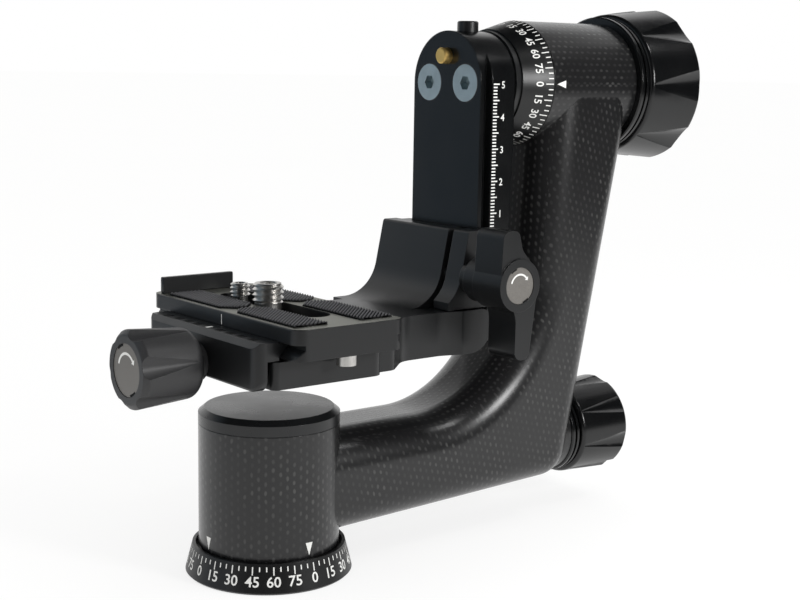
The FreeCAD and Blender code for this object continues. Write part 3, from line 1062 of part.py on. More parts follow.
def clamp_group():
    """The moving jaw of the plate clamp, its guide pins, its knob and its screw."""
    jaw = new_body("qr_jaw")
    reach = "plate_front - face_gap * 2"
    section = draw(new_sketch(jaw, "XZ_Plane", "section"), [
        ("qr_jaw_outer", "qr_jaw_bottom", "qr_jaw_round"), ("qr_jaw_inner", "qr_jaw_bottom"),
        ("qr_jaw_inner", "clamp_top + loose_gap"), (reach, "clamp_top + loose_gap"),
        (reach, "plate_bottom + plate_edge"),
        (reach + " + plate_undercut", "plate_bottom + plate_edge + plate_undercut"),
        (reach + " + plate_undercut", "plate_slab - face_gap * 2"),
        ("plate_front - loose_gap", "plate_slab - face_gap * 2"), ("plate_front - loose_gap", "qr_jaw_top"),
        ("qr_jaw_outer + qr_jaw_bevel", "qr_jaw_top"), ("qr_jaw_outer", "qr_jaw_top - qr_jaw_bevel")])
    pad(jaw, section, "2 * qr_jaw_half", "blank", both_ways=True)

    def is_outer_corner(edge):
        box = edge.BoundBox
        upright_edge = box.XLength < SAME and box.YLength < SAME
        outermost = box.XMax < value("qr_jaw_outer") + SAME
        return upright_edge and outermost and box.ZLength > value("qr_jaw_top - clamp_top")

    round_edges(jaw, "qr_jaw_end_round", is_outer_corner, "ends")
    primitive(jaw, "SubtractiveCylinder", "screw_hole", "X", "qr_jaw_outer - overrun",
              ("0", "qr_axis_height"), Radius="qr_screw_radius + face_gap", Height="2 * overrun")
    hole = primitive(jaw, "SubtractiveCylinder", "pin_hole", "X", "qr_jaw_outer + guide_pin_cover",
                     ("guide_pin_spread", "qr_axis_height"), Radius="guide_pin_radius + seat_gap / 2",
                     Height="overrun")
    mirror(jaw, [hole], "XZ_Plane", "pin_holes")

    pins = new_body("qr_guide_pins")
    pin = primitive(pins, "AdditiveCylinder", "pin", "X", "qr_jaw_outer + guide_pin_cover + face_gap",
                    ("guide_pin_spread", "qr_axis_height"), Radius="guide_pin_radius",
                    Height="guide_pin_end - qr_jaw_outer - guide_pin_cover - face_gap")
    mirror(pins, [pin], "XZ_Plane", "pair")

    centre = ("0", "0", "qr_axis_height")
    knob = lathe("qr_knob", "X", [
        ("qr_jaw_outer - face_gap", "qr_screw_radius + seat_gap"),
        ("qr_jaw_outer - face_gap", "qr_neck_radius"),
        ("qr_knob_inner", "qr_neck_radius"), ("qr_knob_inner", "qr_knob_inner_radius", "qr_knob_inner_round"),
        ("qr_knob_rim", "qr_knob_rim_radius", "qr_knob_rim_round"),
        ("qr_knob_outer", "qr_knob_rim_radius - qr_knob_shoulder", "qr_knob_outer_round"),
        ("qr_knob_outer", "qr_cap_radius + seat_gap"),
        ("qr_knob_outer + cap_thickness", "qr_cap_radius + seat_gap"), ("qr_knob_outer + cap_thickness", "0"),
        ("qr_knob_outer + qr_screw_cover", "0"),
        ("qr_knob_outer + qr_screw_cover", "qr_screw_radius + seat_gap")], centre)
    cut_flutes(knob, "qr_flute_count", Radius1="qr_flute_tip", Radius2="qr_flute_mouth",
               Height="qr_flute_length", start="qr_knob_inner - qr_flute_inset",
               lift="qr_knob_inner_radius + qr_flute_lift",
               angle="qr_flute_lean", towards=-1)
    turn_about_axis(knob, "qr_knob_clock")
    lathe("qr_knob_cap", "X", tube("qr_knob_outer + 2 * face_gap", "qr_knob_outer + cap_thickness",
                                   "qr_cap_radius"), centre)
    lathe("qr_clamp_screw", "X", tube("qr_knob_outer + qr_screw_cover", "qr_screw_end",
                                      "qr_screw_radius"), centre)


PLATE_MIDDLE = "(plate_front + plate_back) / 2"


def slot_outline(half, near, far):
    """A slot along Y with round ends, about the middle of the plate."""
    left, right = f"{PLATE_MIDDLE} - {half}", f"{PLATE_MIDDLE} + {half}"
    turn = f"{half} - straight_left"
    return [(left, near, turn), (right, near, turn), (right, far, turn), (left, far, turn)]


def pad_outlines():
    """The four pads: two on each side of the slot, one towards each end."""
    outlines = []
    for side in ("-", "+"):
        for end in ("-", "+"):
            inner, outer = f"{PLATE_MIDDLE} {side} pad_inner", f"{PLATE_MIDDLE} {side} pad_outer"
            start, stop = f"pad_shift {end} pad_gap", f"pad_shift {end} (pad_gap + pad_length)"
            shoulder = f"{start} {end} pad_notch"
            outlines.append([
                (inner, shoulder), (f"{inner} {side} pad_notch", start),
                (f"{outer} {'+' if side == '-' else '-'} pad_notch", start), (outer, shoulder),
                (outer, stop), (inner, stop)])
    return outlines


def plate_group():
    """The quick-release plate, its pads, its lip, its stop screws and the camera screws."""
    plate = new_body("quick_release_plate")
    neck_low = "plate_bottom + plate_edge + plate_undercut"
    section = draw(new_sketch(plate, "XZ_Plane", "section", "-plate_near"), [
        ("plate_front", "plate_bottom"), ("plate_back", "plate_bottom"),
        ("plate_back", "plate_bottom + plate_edge"), ("plate_back - plate_undercut", neck_low),
        ("plate_back - plate_undercut", "plate_slab"), ("plate_back", "plate_slab"),
        ("plate_back", "plate_top", "plate_edge_round"), ("plate_front", "plate_top", "plate_edge_round"),
        ("plate_front", "plate_slab"),
        ("plate_front + plate_undercut", "plate_slab"), ("plate_front + plate_undercut", neck_low),
        ("plate_front", "plate_bottom + plate_edge")])
    pad(plate, section, "plate_far - plate_near", "blank", reverse=True)
    corners = new_sketch(plate, "XY_Plane", "corners")
    turn = "plate_corner"
    draw(corners, [("plate_front - overrun", "plate_near - overrun"),
                   ("plate_back + overrun", "plate_near - overrun"),
                   ("plate_back + overrun", "plate_far + overrun"),
                   ("plate_front - overrun", "plate_far + overrun")], "o")
    draw(corners, [("plate_front", "plate_near", turn), ("plate_back", "plate_near", turn),
                   ("plate_back", "plate_far", turn), ("plate_front", "plate_far", turn)], "i")
    pocket(plate, corners, "rounded")
    slot = draw(new_sketch(plate, "XY_Plane", "slot"),
                slot_outline("screw_slot_half", "screw_slot_near", "screw_slot_far"))
    pocket(plate, slot, "screw_slot")
    wider = "(screw_channel_half - screw_slot_half)"
    channel = draw(new_sketch(plate, "XY_Plane", "channel", "screw_channel_top"),
                   slot_outline("screw_channel_half", f"screw_slot_near - {wider}",
                                f"screw_slot_far + {wider}"))
    pocket(plate, channel, "screw_channel", "screw_channel_top - plate_bottom + overrun", both_ways=False)
    recess = new_sketch(plate, "XY_Plane", "recess", "plate_top - pad_depth")
    for number, outline in enumerate(pad_outlines()):
        draw(recess, outline, f"q{number}_")
    pocket(plate, recess, "pad_recess", "pad_depth + overrun", both_ways=False, reverse=True)
    for end in ("near", "far"):
        primitive(plate, "SubtractiveCylinder", "stop_hole_" + end, "Z", "plate_bottom - overrun",
                  (PLATE_MIDDLE, f"stop_screw_{end}"), Radius="stop_shank_radius + seat_gap",
                  Height="overrun + stop_screw_depth + loose_gap")

    pads = new_body("plate_pads")
    for number, outline in enumerate(pad_outlines()):
        sketch = draw(new_sketch(pads, "XY_Plane", f"outline{number}", "plate_top - pad_depth"), outline)
        pad(pads, sketch, "pad_depth + pad_proud", f"slab{number}")

    lip = new_body("plate_lip")
    outline = draw(new_sketch(lip, "XZ_Plane", "outline", "-plate_lip_outer"), [
        ("plate_lip_front", "plate_top"), ("plate_lip_back", "plate_top"),
        ("plate_lip_back", "plate_lip_top"), ("plate_lip_front", "plate_lip_top")])
    pad(lip, outline, "plate_lip_thickness", "blank")

    stops = new_body("plate_stop_screws")
    for end in ("near", "far"):
        primitive(stops, "AdditiveCylinder", "head_" + end, "Z", "plate_bottom - stop_screw_drop",
                  (PLATE_MIDDLE, f"stop_screw_{end}"), Radius="stop_screw_radius", Height="stop_screw_drop")
        primitive(stops, "AdditiveCylinder", "shank_" + end, "Z", "plate_bottom",
                  (PLATE_MIDDLE, f"stop_screw_{end}"), Radius="stop_shank_radius", Height="stop_screw_depth")

    for name in ("large", "small"):
        head_top = "screw_channel_top - face_gap"
        head_foot, tip = head_top + " - screw_head_height", f"plate_top + {name}_screw_reach"
        neck = f"{name}_screw_radius - screw_neck_depth"
        screw = lathe(f"camera_screw_{name}", "Z", [
            ("0", head_foot), (f"{name}_head_radius", head_foot), (f"{name}_head_radius", head_top),
            (neck, head_top), (neck, "screw_thread_foot"), (f"{name}_screw_radius", "screw_thread_foot"),
            (f"{name}_screw_radius", tip), ("0", tip)], (PLATE_MIDDLE, f"{name}_screw_y", "0"))
        break_edges(screw, "Z", [(tip, f"{name}_screw_radius"), (head_foot, f"{name}_head_radius")])


def check_and_export():
    """Stop on any failed object or bad solid, and write one file for each piece."""
    doc.recompute()
    for thing in doc.Objects:
        bad = [state for state in thing.State if state in ("Invalid", "Error")]
        if bad:
            raise RuntimeError(f"{thing.Name} is {bad}")
    for piece in parts:
        if piece.Shape.isNull() or not piece.Shape.isValid() or not piece.Shape.Solids:
            raise RuntimeError(f"{piece.Label} has no valid solid")
    os.makedirs("parts", exist_ok=True)
    for piece in parts:
        piece.Shape.exportStep(f"parts/{piece.Label}.step")
        print(f"{piece.Label}: {len(piece.Shape.Solids)} solid(s), {piece.Shape.Volume:.0f} mm3")


turned_base()
pan_hub_metal()
moulded_arm()
tilt_hub_metal()
pan_lock()
tilt_lock()
swing_arm_group()
platform_group()
rail_lever_group()
clamp_group()
plate_group()
check_and_export()
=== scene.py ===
"""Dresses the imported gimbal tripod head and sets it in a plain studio.

The CAD pieces keep their shape and get procedural materials. Printed scales, pointers and cap
marks, the hub cap, the plate's lip and ribbed pads, and the two threaded camera screws are
surfaces worked out with numpy. Lengths are in metres, in the frame of the CAD model: +Z up,
+X along the tilt axis.
"""
import json
import math
from functools import partial

import bmesh
import bpy
import numpy as np
from bpy.props import FloatProperty, FloatVectorProperty, IntProperty, PointerProperty
from bpy.types import Operator, Panel, PropertyGroup
from mathutils import Matrix, Vector


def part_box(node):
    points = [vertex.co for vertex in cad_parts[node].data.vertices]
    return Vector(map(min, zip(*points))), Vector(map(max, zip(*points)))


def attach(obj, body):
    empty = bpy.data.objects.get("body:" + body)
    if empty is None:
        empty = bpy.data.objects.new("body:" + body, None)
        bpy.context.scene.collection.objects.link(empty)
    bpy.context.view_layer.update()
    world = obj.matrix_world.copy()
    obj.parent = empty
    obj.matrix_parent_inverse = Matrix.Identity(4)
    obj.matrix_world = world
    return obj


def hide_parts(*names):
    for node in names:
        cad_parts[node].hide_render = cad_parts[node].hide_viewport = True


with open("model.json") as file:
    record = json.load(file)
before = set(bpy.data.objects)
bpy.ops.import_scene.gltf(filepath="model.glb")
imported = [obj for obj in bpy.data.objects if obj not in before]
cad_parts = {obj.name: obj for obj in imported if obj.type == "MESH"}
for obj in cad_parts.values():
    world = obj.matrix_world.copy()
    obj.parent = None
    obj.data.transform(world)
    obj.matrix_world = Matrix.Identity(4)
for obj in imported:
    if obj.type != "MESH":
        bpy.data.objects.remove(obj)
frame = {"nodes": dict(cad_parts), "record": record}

bl_info = {
    "name": "Gimbal head dressing",
    "version": (2, 0),
    "blender": (4, 5, 0),
    "location": "View3D > Sidebar > Gimbal head",
    "description": "Materials, scales, pads, screws, light and camera for a gimbal tripod head",
    "category": "Object",
}

MM = 0.001
FULL_TURN = 2 * math.pi
WHITE = (1.0, 1.0, 1.0, 1.0)


def colour(code):
    """Linear RGBA of an sRGB hex colour such as "1a2b3c"."""
    srgb = np.array([int(code[place:place + 2], 16) / 255 for place in (0, 2, 4)])
    linear = np.where(srgb <= 0.04045, srgb / 12.92, ((srgb + 0.055) / 1.055) ** 2.4)
    return (*linear.tolist(), 1.0)


# ---- settings

def number(name, default, description, **limits):
    """A number property, with its limits, unit or subtype if it has any."""
    return FloatProperty(name=name, description=description, default=default, **limits)


def length(name, millimetres, description):
    """A length property, written in millimetres."""
    return number(name, millimetres * MM, description, unit="LENGTH")


def paint(name, code, description):
    """A colour property, written as an sRGB hex colour."""
    return FloatVectorProperty(name=name, description=description, size=4, min=0, max=1,
                               subtype="COLOR", default=colour(code))


class GimbalColours(PropertyGroup):
    """Base colours of the finishes."""

    anodised: paint("Anodised black", "121314", "Blasted black of the aluminium pieces")
    polished: paint("Lock knobs", "08090a", "Bright black of the two lock knobs and the rail")
    clamp_knob: paint("Clamp knob", "2b2b2c", "Matt black of the clamp knob")
    # painted reflection: the plate's pale top stands in for the bright backdrop that it mirrors
    painted_top_reflection: paint("Painted top reflection", "94948b", "Painted reflection on the plate's top")
    resin: paint("Carbon ground", "161617", "Carbon between the tows that lie on top")
    tow: paint("Carbon tows", "40403f", "Carbon tows that lie on top")
    zinc: paint("Zinc plating", "c2d0d4", "Blue passivated zinc")
    steel: paint("Steel", "d8d6d2", "Turned steel")
    oxide: paint("Black steel", "101011", "Oil blacked steel")
    aluminium: paint("Aluminium", "c9cacb", "Turned aluminium")
    brass: paint("Brass", "ffdc8c", "Turned brass")
    bronze: paint("Bronze", "9c7440", "Sintered bronze")
    acetal: paint("Acetal", "d9d8d0", "Moulded acetal washers")
    cap: paint("Cap discs", "625f5b", "Grey end discs of the knobs and the lever")
    rubber: paint("Rubber", "19191a", "Ribbed pads")
    ink: paint("Printing", "e9e9e6", "Scales, numbers and pointers")
    floor: paint("Floor", "f6f6f5", "Studio floor")


class GimbalScales(PropertyGroup):
    """Sizes of the printed marks."""

    lift: length("Lift", 0.04, "Height of a print above its surface")
    tick_width: length("Tick width", 0.34, "Width of a tick on a ring")
    ring_step: IntProperty(name="Ring step", description="Degrees between the ticks of a ring", default=5)
    label_step: IntProperty(name="Label step", description="Degrees between the numbers", default=15)
    label_wrap: IntProperty(name="Label wrap", description="Degrees after which the numbers restart",
                            default=90)
    pan_lip_radius: length("Pan lip radius", 22.85, "Upper end of the base ring's cone")
    pan_slope: length("Pan slope", 8.2, "Height of the base ring's cone")
    pan_long_tick: length("Pan long tick", 2.3, "Tick at a number")
    pan_short_tick: length("Pan short tick", 1.3, "Tick between numbers")
    pan_digit: length("Pan digits", 2.95, "Height of the base ring's numbers")
    pan_tick_start: length("Pan tick start", 0.9, "From the lip to the ticks")
    tilt_front_radius: length("Tilt ring front radius", 17.0, "Small end of the cone")
    tilt_long_tick: length("Tilt long tick", 2.6, "Tick at a number")
    tilt_short_tick: length("Tilt short tick", 1.6, "Tick between numbers")
    tilt_digit: length("Tilt digits", 2.6, "Height of the tilt ring's numbers")
    tilt_tick_start: length("Tilt tick start", 0.3, "From the back edge to the ticks")
    digit_drop: length("Digit drop", 5.0, "From a ring's edge to the numbers' middle")
    tilt_axis: length("Tilt axis", 145.0, "Height of the tilt axis")
    tilt_hub_radius: length("Tilt hub radius", 20.0, "Hub that carries the tilt pointer")
    pointer_width: length("Pointer width", 2.4, "Width of a pointer's back")
    pointer_length: length("Pointer length", 3.9, "Length of a pointer")
    tilt_pointer_gap: length("Tilt pointer gap", 1.2, "From the tilt ring to its pointer")
    pan_pointer_tip: length("Pan pointer tip", 9.4, "Height of the pan pointers' tips")
    rail_top: length("Rail scale top", 144.8, "Height of the highest tick")
    rail_ticks: IntProperty(name="Rail ticks", description="Millimetres on the rail's scale", default=50)
    rail_start: length("Rail tick start", 71.6, "Place of the ticks along the tilt axis")
    rail_long_tick: length("Rail long tick", 2.5, "Tick at every fifth millimetre")
    rail_short_tick: length("Rail short tick", 1.6, "Tick at every millimetre")
    rail_tick_width: length("Rail tick width", 0.42, "Width of a tick on the rail")
    rail_digit: length("Rail digits", 2.2, "Height of the rail's numbers")
    rail_digit_gap: length("Rail digit gap", 1.5, "From the long ticks to the numbers' middle")
    rail_digit_drop: length("Rail digit drop", 0.2, "From a tick down to its number's middle")


class GimbalTrim(PropertyGroup):
    """Cap of the pan hub and lip of the plate."""

    cap_height: length("Cap height", 4.65, "Height of the cap over the carbon")
    cap_edge: length("Cap edge", 0.12, "Broken edges of the cap")
    cap_bevel: length("Cap bevel", 1.5, "Height of the bevel round the cap's top")
    cap_bevel_width: length("Cap bevel width", 1.7, "How far that bevel goes inwards")
    lip_thickness: length("Lip thickness", 1.8, "Thickness of the plate's lip")
    lip_edge: length("Lip edge", 0.2, "Broken edges of the lip")


class GimbalPads(PropertyGroup):
    """Ribbed rubber pads of the quick-release plate."""

    inner: length("Inner edge", 5.6, "Edge of a pad from the middle of the plate")
    outer: length("Outer edge", 16.8, "Edge of a pad from the middle of the plate")
    notch: length("Notch", 3.6, "Diagonal cuts at the inner end of a pad")
    gap: length("Gap", 2.8, "Distance between the two pairs of pads")
    pitch: length("Rib pitch", 1.35, "Distance between ribs")
    groove: length("Groove depth", 0.7, "Depth of the grooves between ribs")
    edge: length("Edge", 0.25, "Broken edge along the ribs' ends")


class GimbalScrews(PropertyGroup):
    """Threads and sockets of the two camera screws."""

    large_radius: length("Large radius", 4.7, "Radius of the 3/8 inch thread")
    large_pitch: length("Large pitch", 1.5875, "Pitch of the 3/8 inch thread")
    small_radius: length("Small radius", 3.1, "Radius of the 1/4 inch thread")
    small_pitch: length("Small pitch", 1.27, "Pitch of the 1/4 inch thread")
    depth_share: number("Thread depth", 0.52, "Thread depth as a share of the pitch", min=0.1, max=0.8)
    thread_foot: length("Thread foot", 80.2, "Height at which the threads start")
    head_height: length("Head height", 3.4, "Height of a camera screw's head")
    neck: length("Neck", 0.7, "Relief of the neck below the thread")
    bore_share: number("Bore", 0.56, "Radius of the top's bore as a share of the thread's", min=0.2, max=0.7)
    bore_depth: length("Bore depth", 1.8, "Depth of the bore and of the socket in the head")


class GimbalStage(PropertyGroup):
    """Camera, floor, lamps and cards."""

    camera_place: FloatVectorProperty(name="Camera place", description="Where the camera stands", size=3,
                                      default=(-0.23013, -0.34880, 0.14942), subtype="XYZ", unit="LENGTH")
    camera_target: FloatVectorProperty(name="Camera target", description="Point the camera looks at", size=3,
                                       default=(0.02983, -0.02387, 0.08215), subtype="XYZ", unit="LENGTH")
    camera_roll: number("Camera roll", math.radians(0.976), "Turn about the line of sight", subtype="ANGLE")
    lens: number("Lens", 64.74, "Focal length for a 36 mm sensor", unit="CAMERA")
    floor_size: number("Floor size", 40.0, "Side of the floor", unit="LENGTH")
    daylight: number("Room light", 0.85, "Level of the light from all round")


# ---- shader helpers

def add_node(tree, kind, inputs=(), **settings):
    """Add a shader node with its settings. Inputs go by place or by name: a node is linked by its first
    output, a socket is linked, and anything else is set as the value.

    Map Range takes a value and two ranges, from and to. Mix takes a factor at 0 and vectors at 4 and
    5 or colours at 6 and 7, and gives the vector at 1 and the colour at 2.
    """
    node = tree.nodes.new("ShaderNode" + kind)
    for name, setting in settings.items():
        setattr(node, name, setting)
    for name, source in (inputs.items() if isinstance(inputs, dict) else enumerate(inputs)):
        if isinstance(source, bpy.types.Node):
            source = source.outputs[0]
        if isinstance(source, bpy.types.NodeSocket):
            tree.links.new(source, node.inputs[name])
        else:
            node.inputs[name].default_value = source
    return node


def start_tree(owner):
    """Empty the node tree of a material or a world and give the function that adds nodes to it."""
    owner.use_nodes = True
    owner.node_tree.nodes.clear()
    return partial(add_node, owner.node_tree)


def start_material(name):
    """A new material, the function that adds nodes to it, and the place on the object."""
    material = bpy.data.materials.new(name)
    add = start_tree(material)
    return material, add, add("TexCoord").outputs["Object"]


def facing_parts(add):
    """The x, y and z of the surface's direction, in the object's own axes."""
    facing = add("VectorTransform", [add("NewGeometry").outputs["True Normal"]], vector_type="NORMAL",
                 convert_from="WORLD", convert_to="OBJECT")
    return add("SeparateXYZ", [facing]).outputs


def seen_or_mirrored(add):
    """One for rays from the camera and for those that metal or glass sends on, zero for the others."""
    rays = add("LightPath").outputs
    sent_on = add("Math", [rays["Is Glossy Ray"], rays["Is Transmission Ray"]], operation="MAXIMUM")
    return add("Math", [rays["Is Camera Ray"], sent_on], operation="MAXIMUM")


def shade(base, factor):
    """A colour made lighter or darker."""
    return (*(min(1.0, part * factor) for part in base[:3]), 1.0)


# ---- materials

def anodised(name, base, roughness, edge=0.25 * MM):
    """Metal blasted with fine grit, then anodised or oil blacked: a satin sheen that wanders a
    little, a grain just below what the eye separates, and edges that catch the light."""
    patch, grit, grit_depth = 14 * MM, 0.2 * MM, 0.003 * MM
    material, add, place = start_material(name)
    patches = add("TexNoise", {"Vector": place, "Scale": 1 / patch, "Detail": 3.0})
    gloss = add("MapRange", [patches, 0.3, 0.7, roughness - 0.03, roughness + 0.04])
    grain = add("TexNoise", {"Vector": place, "Scale": 1 / grit, "Detail": 2.0})
    broken = add("Bevel", [edge], samples=4)
    normal = add("Bump", {"Height": grain, "Distance": grit_depth, "Normal": broken})
    speck = add("MapRange", [grain, 0.4, 0.75, 0.0, 1.0])
    tint = add("Mix", {0: speck, 6: base, 7: shade(base, 1.4)}, data_type="RGBA").outputs[2]
    add("OutputMaterial", [add("BsdfPrincipled", {
        "Base Color": tint, "Roughness": gloss, "Normal": normal, "IOR": 1.5})])
    return material


def plate_with_painted_top_reflection(name, base, top_reflection_tint, roughness, top):
    """Anodised aluminium with black flanks and a pale, metallic top with a dull scratched sheen.
    The pale top is painted reflection of the bright backdrop."""
    scratch, scratch_depth, edge, top_reflection_roughness = 0.35 * MM, 0.006 * MM, 0.45 * MM, 0.5
    material, add, place = start_material(name)
    height = add("SeparateXYZ", [place]).outputs[2]
    # painted reflection where the surface faces up, at most a fifth of a millimetre below the top
    level = add("MapRange", [height, top - 0.2 * MM, top - 0.1 * MM, 0.0, 1.0])
    upward = add("MapRange", [facing_parts(add)[2], 0.9, 0.97, 0.0, 1.0])
    painted_top_reflection = add("Math", [level, upward], operation="MULTIPLY")
    grain = add("TexNoise", {"Vector": place, "Scale": 1 / scratch, "Detail": 4.0})
    tint = add("Mix", {0: painted_top_reflection, 6: base, 7: top_reflection_tint}, data_type="RGBA").outputs[2]
    gloss = add("MapRange", [painted_top_reflection, 0.0, 1.0, roughness, top_reflection_roughness])
    broken = add("Bevel", [edge], samples=4)
    normal = add("Bump", {"Height": grain, "Distance": scratch_depth, "Normal": broken})
    add("OutputMaterial", [add("BsdfPrincipled", {
        "Base Color": tint, "Roughness": gloss, "Normal": normal, "Metallic": painted_top_reflection, "IOR": 1.5})])
    return material


def turned_metal(name, base, roughness):
    """Bare or plated metal off the lathe: fine level lines and a faintly stained sheen."""
    pitch, line_depth, stain_size, edge = 0.14 * MM, 0.0015 * MM, 5 * MM, 0.12 * MM
    material, add, place = start_material(name)
    height = add("SeparateXYZ", [place]).outputs[2]
    line = add("Math", [add("Math", [height, FULL_TURN / pitch], operation="MULTIPLY")], operation="SINE")
    gloss = add("MapRange", [line, -1.0, 1.0, roughness, roughness + 0.08])
    broken = add("Bevel", [edge], samples=4)
    normal = add("Bump", {"Height": line, "Distance": line_depth, "Normal": broken})
    cloud = add("TexNoise", {"Vector": place, "Scale": 1 / stain_size, "Detail": 3.0})
    stain = add("MapRange", [cloud, 0.35, 0.7, 0.0, 0.6])
    tint = add("Mix", {0: stain, 6: base, 7: shade(base, 0.78)}, data_type="RGBA").outputs[2]
    add("OutputMaterial", [add("BsdfPrincipled", {
        "Base Color": tint, "Metallic": 1.0, "Roughness": gloss, "Normal": normal})])
    return material


def ribbed_rubber(name, base, roughness, top):
    """Moulded rubber with ribs: matt, with painted light on the paler rib tops and painted shade in the
    black grooves.
    """
    # the last two factors paint light on the rib tops and shade in the grooves
    grit, grit_depth, painted_top_light, painted_groove_shade = 0.2 * MM, 0.01 * MM, 9.0, 0.3
    material, add, place = start_material(name)
    height = add("SeparateXYZ", [place]).outputs[2]
    grain = add("TexNoise", {"Vector": place, "Scale": 1 / grit, "Detail": 2.0})
    normal = add("Bump", {"Height": grain, "Distance": grit_depth})
    # painted light and shade by height: the rib tops are painted paler, the grooves darker
    painted_light_share = add("MapRange", [height, top - 0.5 * MM, top - 0.05 * MM, 0.0, 1.0])
    tint = add("Mix", {0: painted_light_share, 6: shade(base, painted_groove_shade), 7: shade(base, painted_top_light)}, data_type="RGBA").outputs[2]
    add("OutputMaterial", [add("BsdfPrincipled", {
        "Base Color": tint, "Roughness": roughness, "Normal": normal, "IOR": 1.5,
        "Specular IOR Level": 0.2})])
    return material


def moulded(name, base, roughness, grit_depth=0.004 * MM):
    """Moulded rubber or plastic, or printing ink: soft sheen, fine grain and slightly uneven tone."""
    grit, cloud_size = 0.3 * MM, 3 * MM
    material, add, place = start_material(name)
    grain = add("TexNoise", {"Vector": place, "Scale": 1 / grit, "Detail": 2.0})
    normal = add("Bump", {"Height": grain, "Distance": grit_depth})
    cloud = add("TexNoise", {"Vector": place, "Scale": 1 / cloud_size, "Detail": 3.0})
    mottle = add("MapRange", [cloud, 0.35, 0.7, 0.0, 1.0])
    tint = add("Mix", {0: mottle, 6: base, 7: shade(base, 0.86)}, data_type="RGBA").outputs[2]
    gloss = add("MapRange", [cloud, 0.3, 0.7, roughness - 0.04, roughness + 0.05])
    add("OutputMaterial", [add("BsdfPrincipled", {
        "Base Color": tint, "Roughness": gloss, "Normal": normal, "IOR": 1.5})])
    return material


def carbon(colours, sizes):
    """Woven carbon in resin under a satin coat: a dark ground with a pale dash wherever a tow comes
    up over its neighbours. The cloth is wrapped round both hubs and lies flat on the flanks."""
    column_pitch, row_pitch, dash_width, dash_height = 2.05 * MM, 2.65 * MM, 0.9 * MM, 1.45 * MM
    tow_height, wander_size, wander_reach, cloud_size = 0.08 * MM, 4 * MM, 0.9 * MM, 16 * MM
    edge, wrap_reach, flank_turn = 0.4 * MM, 0.4 * MM, math.radians(-18)
    pan_hub_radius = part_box("hub_cap")[1].x
    material, add, place = start_material("carbon_twill_satin_resin")
    x, y, z = add("SeparateXYZ", [place]).outputs
    sideways = add("Math", [facing_parts(add)[1]], operation="ABSOLUTE")
    flank = add("MapRange", [sideways, 0.66, 0.70, 0.0, 1.0])

    # the cloth's own coordinates on the arm's flanks, on its other sides, and round each hub
    on_flank = add("Mapping", {"Vector": add("CombineXYZ", [x, z]), "Rotation": (0, 0, flank_turn)})
    elsewhere = add("CombineXYZ", [y, add("Math", [x, z], operation="ADD")])
    cloth = add("Mix", {0: flank, 4: elsewhere, 5: on_flank}, data_type="VECTOR").outputs[1]
    above = add("Math", [z, sizes.tilt_axis], operation="SUBTRACT")
    for side, up, run, radius in ((x, y, z, pan_hub_radius), (y, above, x, sizes.tilt_hub_radius)):
        angle = add("Math", [up, side], operation="ARCTAN2")
        arc = add("Math", [angle, radius], operation="MULTIPLY")
        reach = add("VectorMath", [add("CombineXYZ", [side, up])], operation="LENGTH").outputs[1]
        inside = add("Math", [reach, radius + wrap_reach], operation="LESS_THAN")
        wrapped = add("CombineXYZ", [arc, run])
        cloth = add("Mix", {0: inside, 4: cloth, 5: wrapped}, data_type="VECTOR").outputs[1]

    # columns of dashes, every other column half a row lower
    wander = add("TexNoise", {"Vector": cloth, "Scale": 1 / wander_size, "Detail": 1.0}).outputs[1]
    shift = add("VectorMath", [wander, (-0.5, -0.5, -0.5)], operation="ADD")
    shift = add("VectorMath", {0: shift, 3: wander_reach}, operation="SCALE")
    cloth = add("VectorMath", [cloth, shift], operation="ADD")
    across, down = add("SeparateXYZ", [cloth]).outputs[:2]
    columns = add("Math", [across, column_pitch], operation="DIVIDE")
    odd = add("Math", [add("Math", [columns], operation="FLOOR"), 2.0], operation="FLOORED_MODULO")
    rows = add("Math", [add("Math", [down, row_pitch], operation="DIVIDE"),
                        add("Math", [odd, 0.5], operation="MULTIPLY")], operation="ADD")
    cells = add("CombineXYZ", [columns, rows])

    # each dash fades out with the distance from its middle, in half dashes
    half_dashes = (2 * column_pitch / dash_width, 2 * row_pitch / dash_height, 0.0)
    off = add("VectorMath", [cells], operation="FRACTION")
    off = add("VectorMath", [off, (0.5, 0.5, 0.0)], operation="SUBTRACT")
    off = add("VectorMath", [off, half_dashes], operation="MULTIPLY")
    distance = add("VectorMath", [off], operation="LENGTH").outputs[1]
    dash = add("MapRange", [distance, 1.3, 0.5, 0.0, 1.0], interpolation_type="SMOOTHSTEP")
    each = add("TexWhiteNoise", [add("VectorMath", [cells], operation="FLOOR")], noise_dimensions="2D")
    cloud = add("TexNoise", {"Vector": place, "Scale": 1 / cloud_size, "Detail": 2.0})
    patches = add("MapRange", [cloud, 0.35, 0.65, 0.35, 1.0])
    strength = add("Math", [add("MapRange", [each, 0.0, 1.0, 0.2, 1.0]), patches], operation="MULTIPLY")
    share = add("Math", [strength, dash], operation="MULTIPLY")
    tint = add("Mix", {0: share, 6: colours.resin, 7: colours.tow}, data_type="RGBA").outputs[2]

    broken = add("Bevel", [edge], samples=4)
    weave = add("Bump", {"Height": share, "Distance": tow_height, "Normal": broken})
    gloss = add("MapRange", [cloud, 0.3, 0.7, 0.42, 0.52])
    add("OutputMaterial", [add("BsdfPrincipled", {
        "Base Color": tint, "Roughness": gloss, "Normal": weave, "IOR": 1.5, "Specular IOR Level": 0.12,
        "Coat Weight": 0.85, "Coat Roughness": 0.25, "Coat Normal": broken})])
    return material


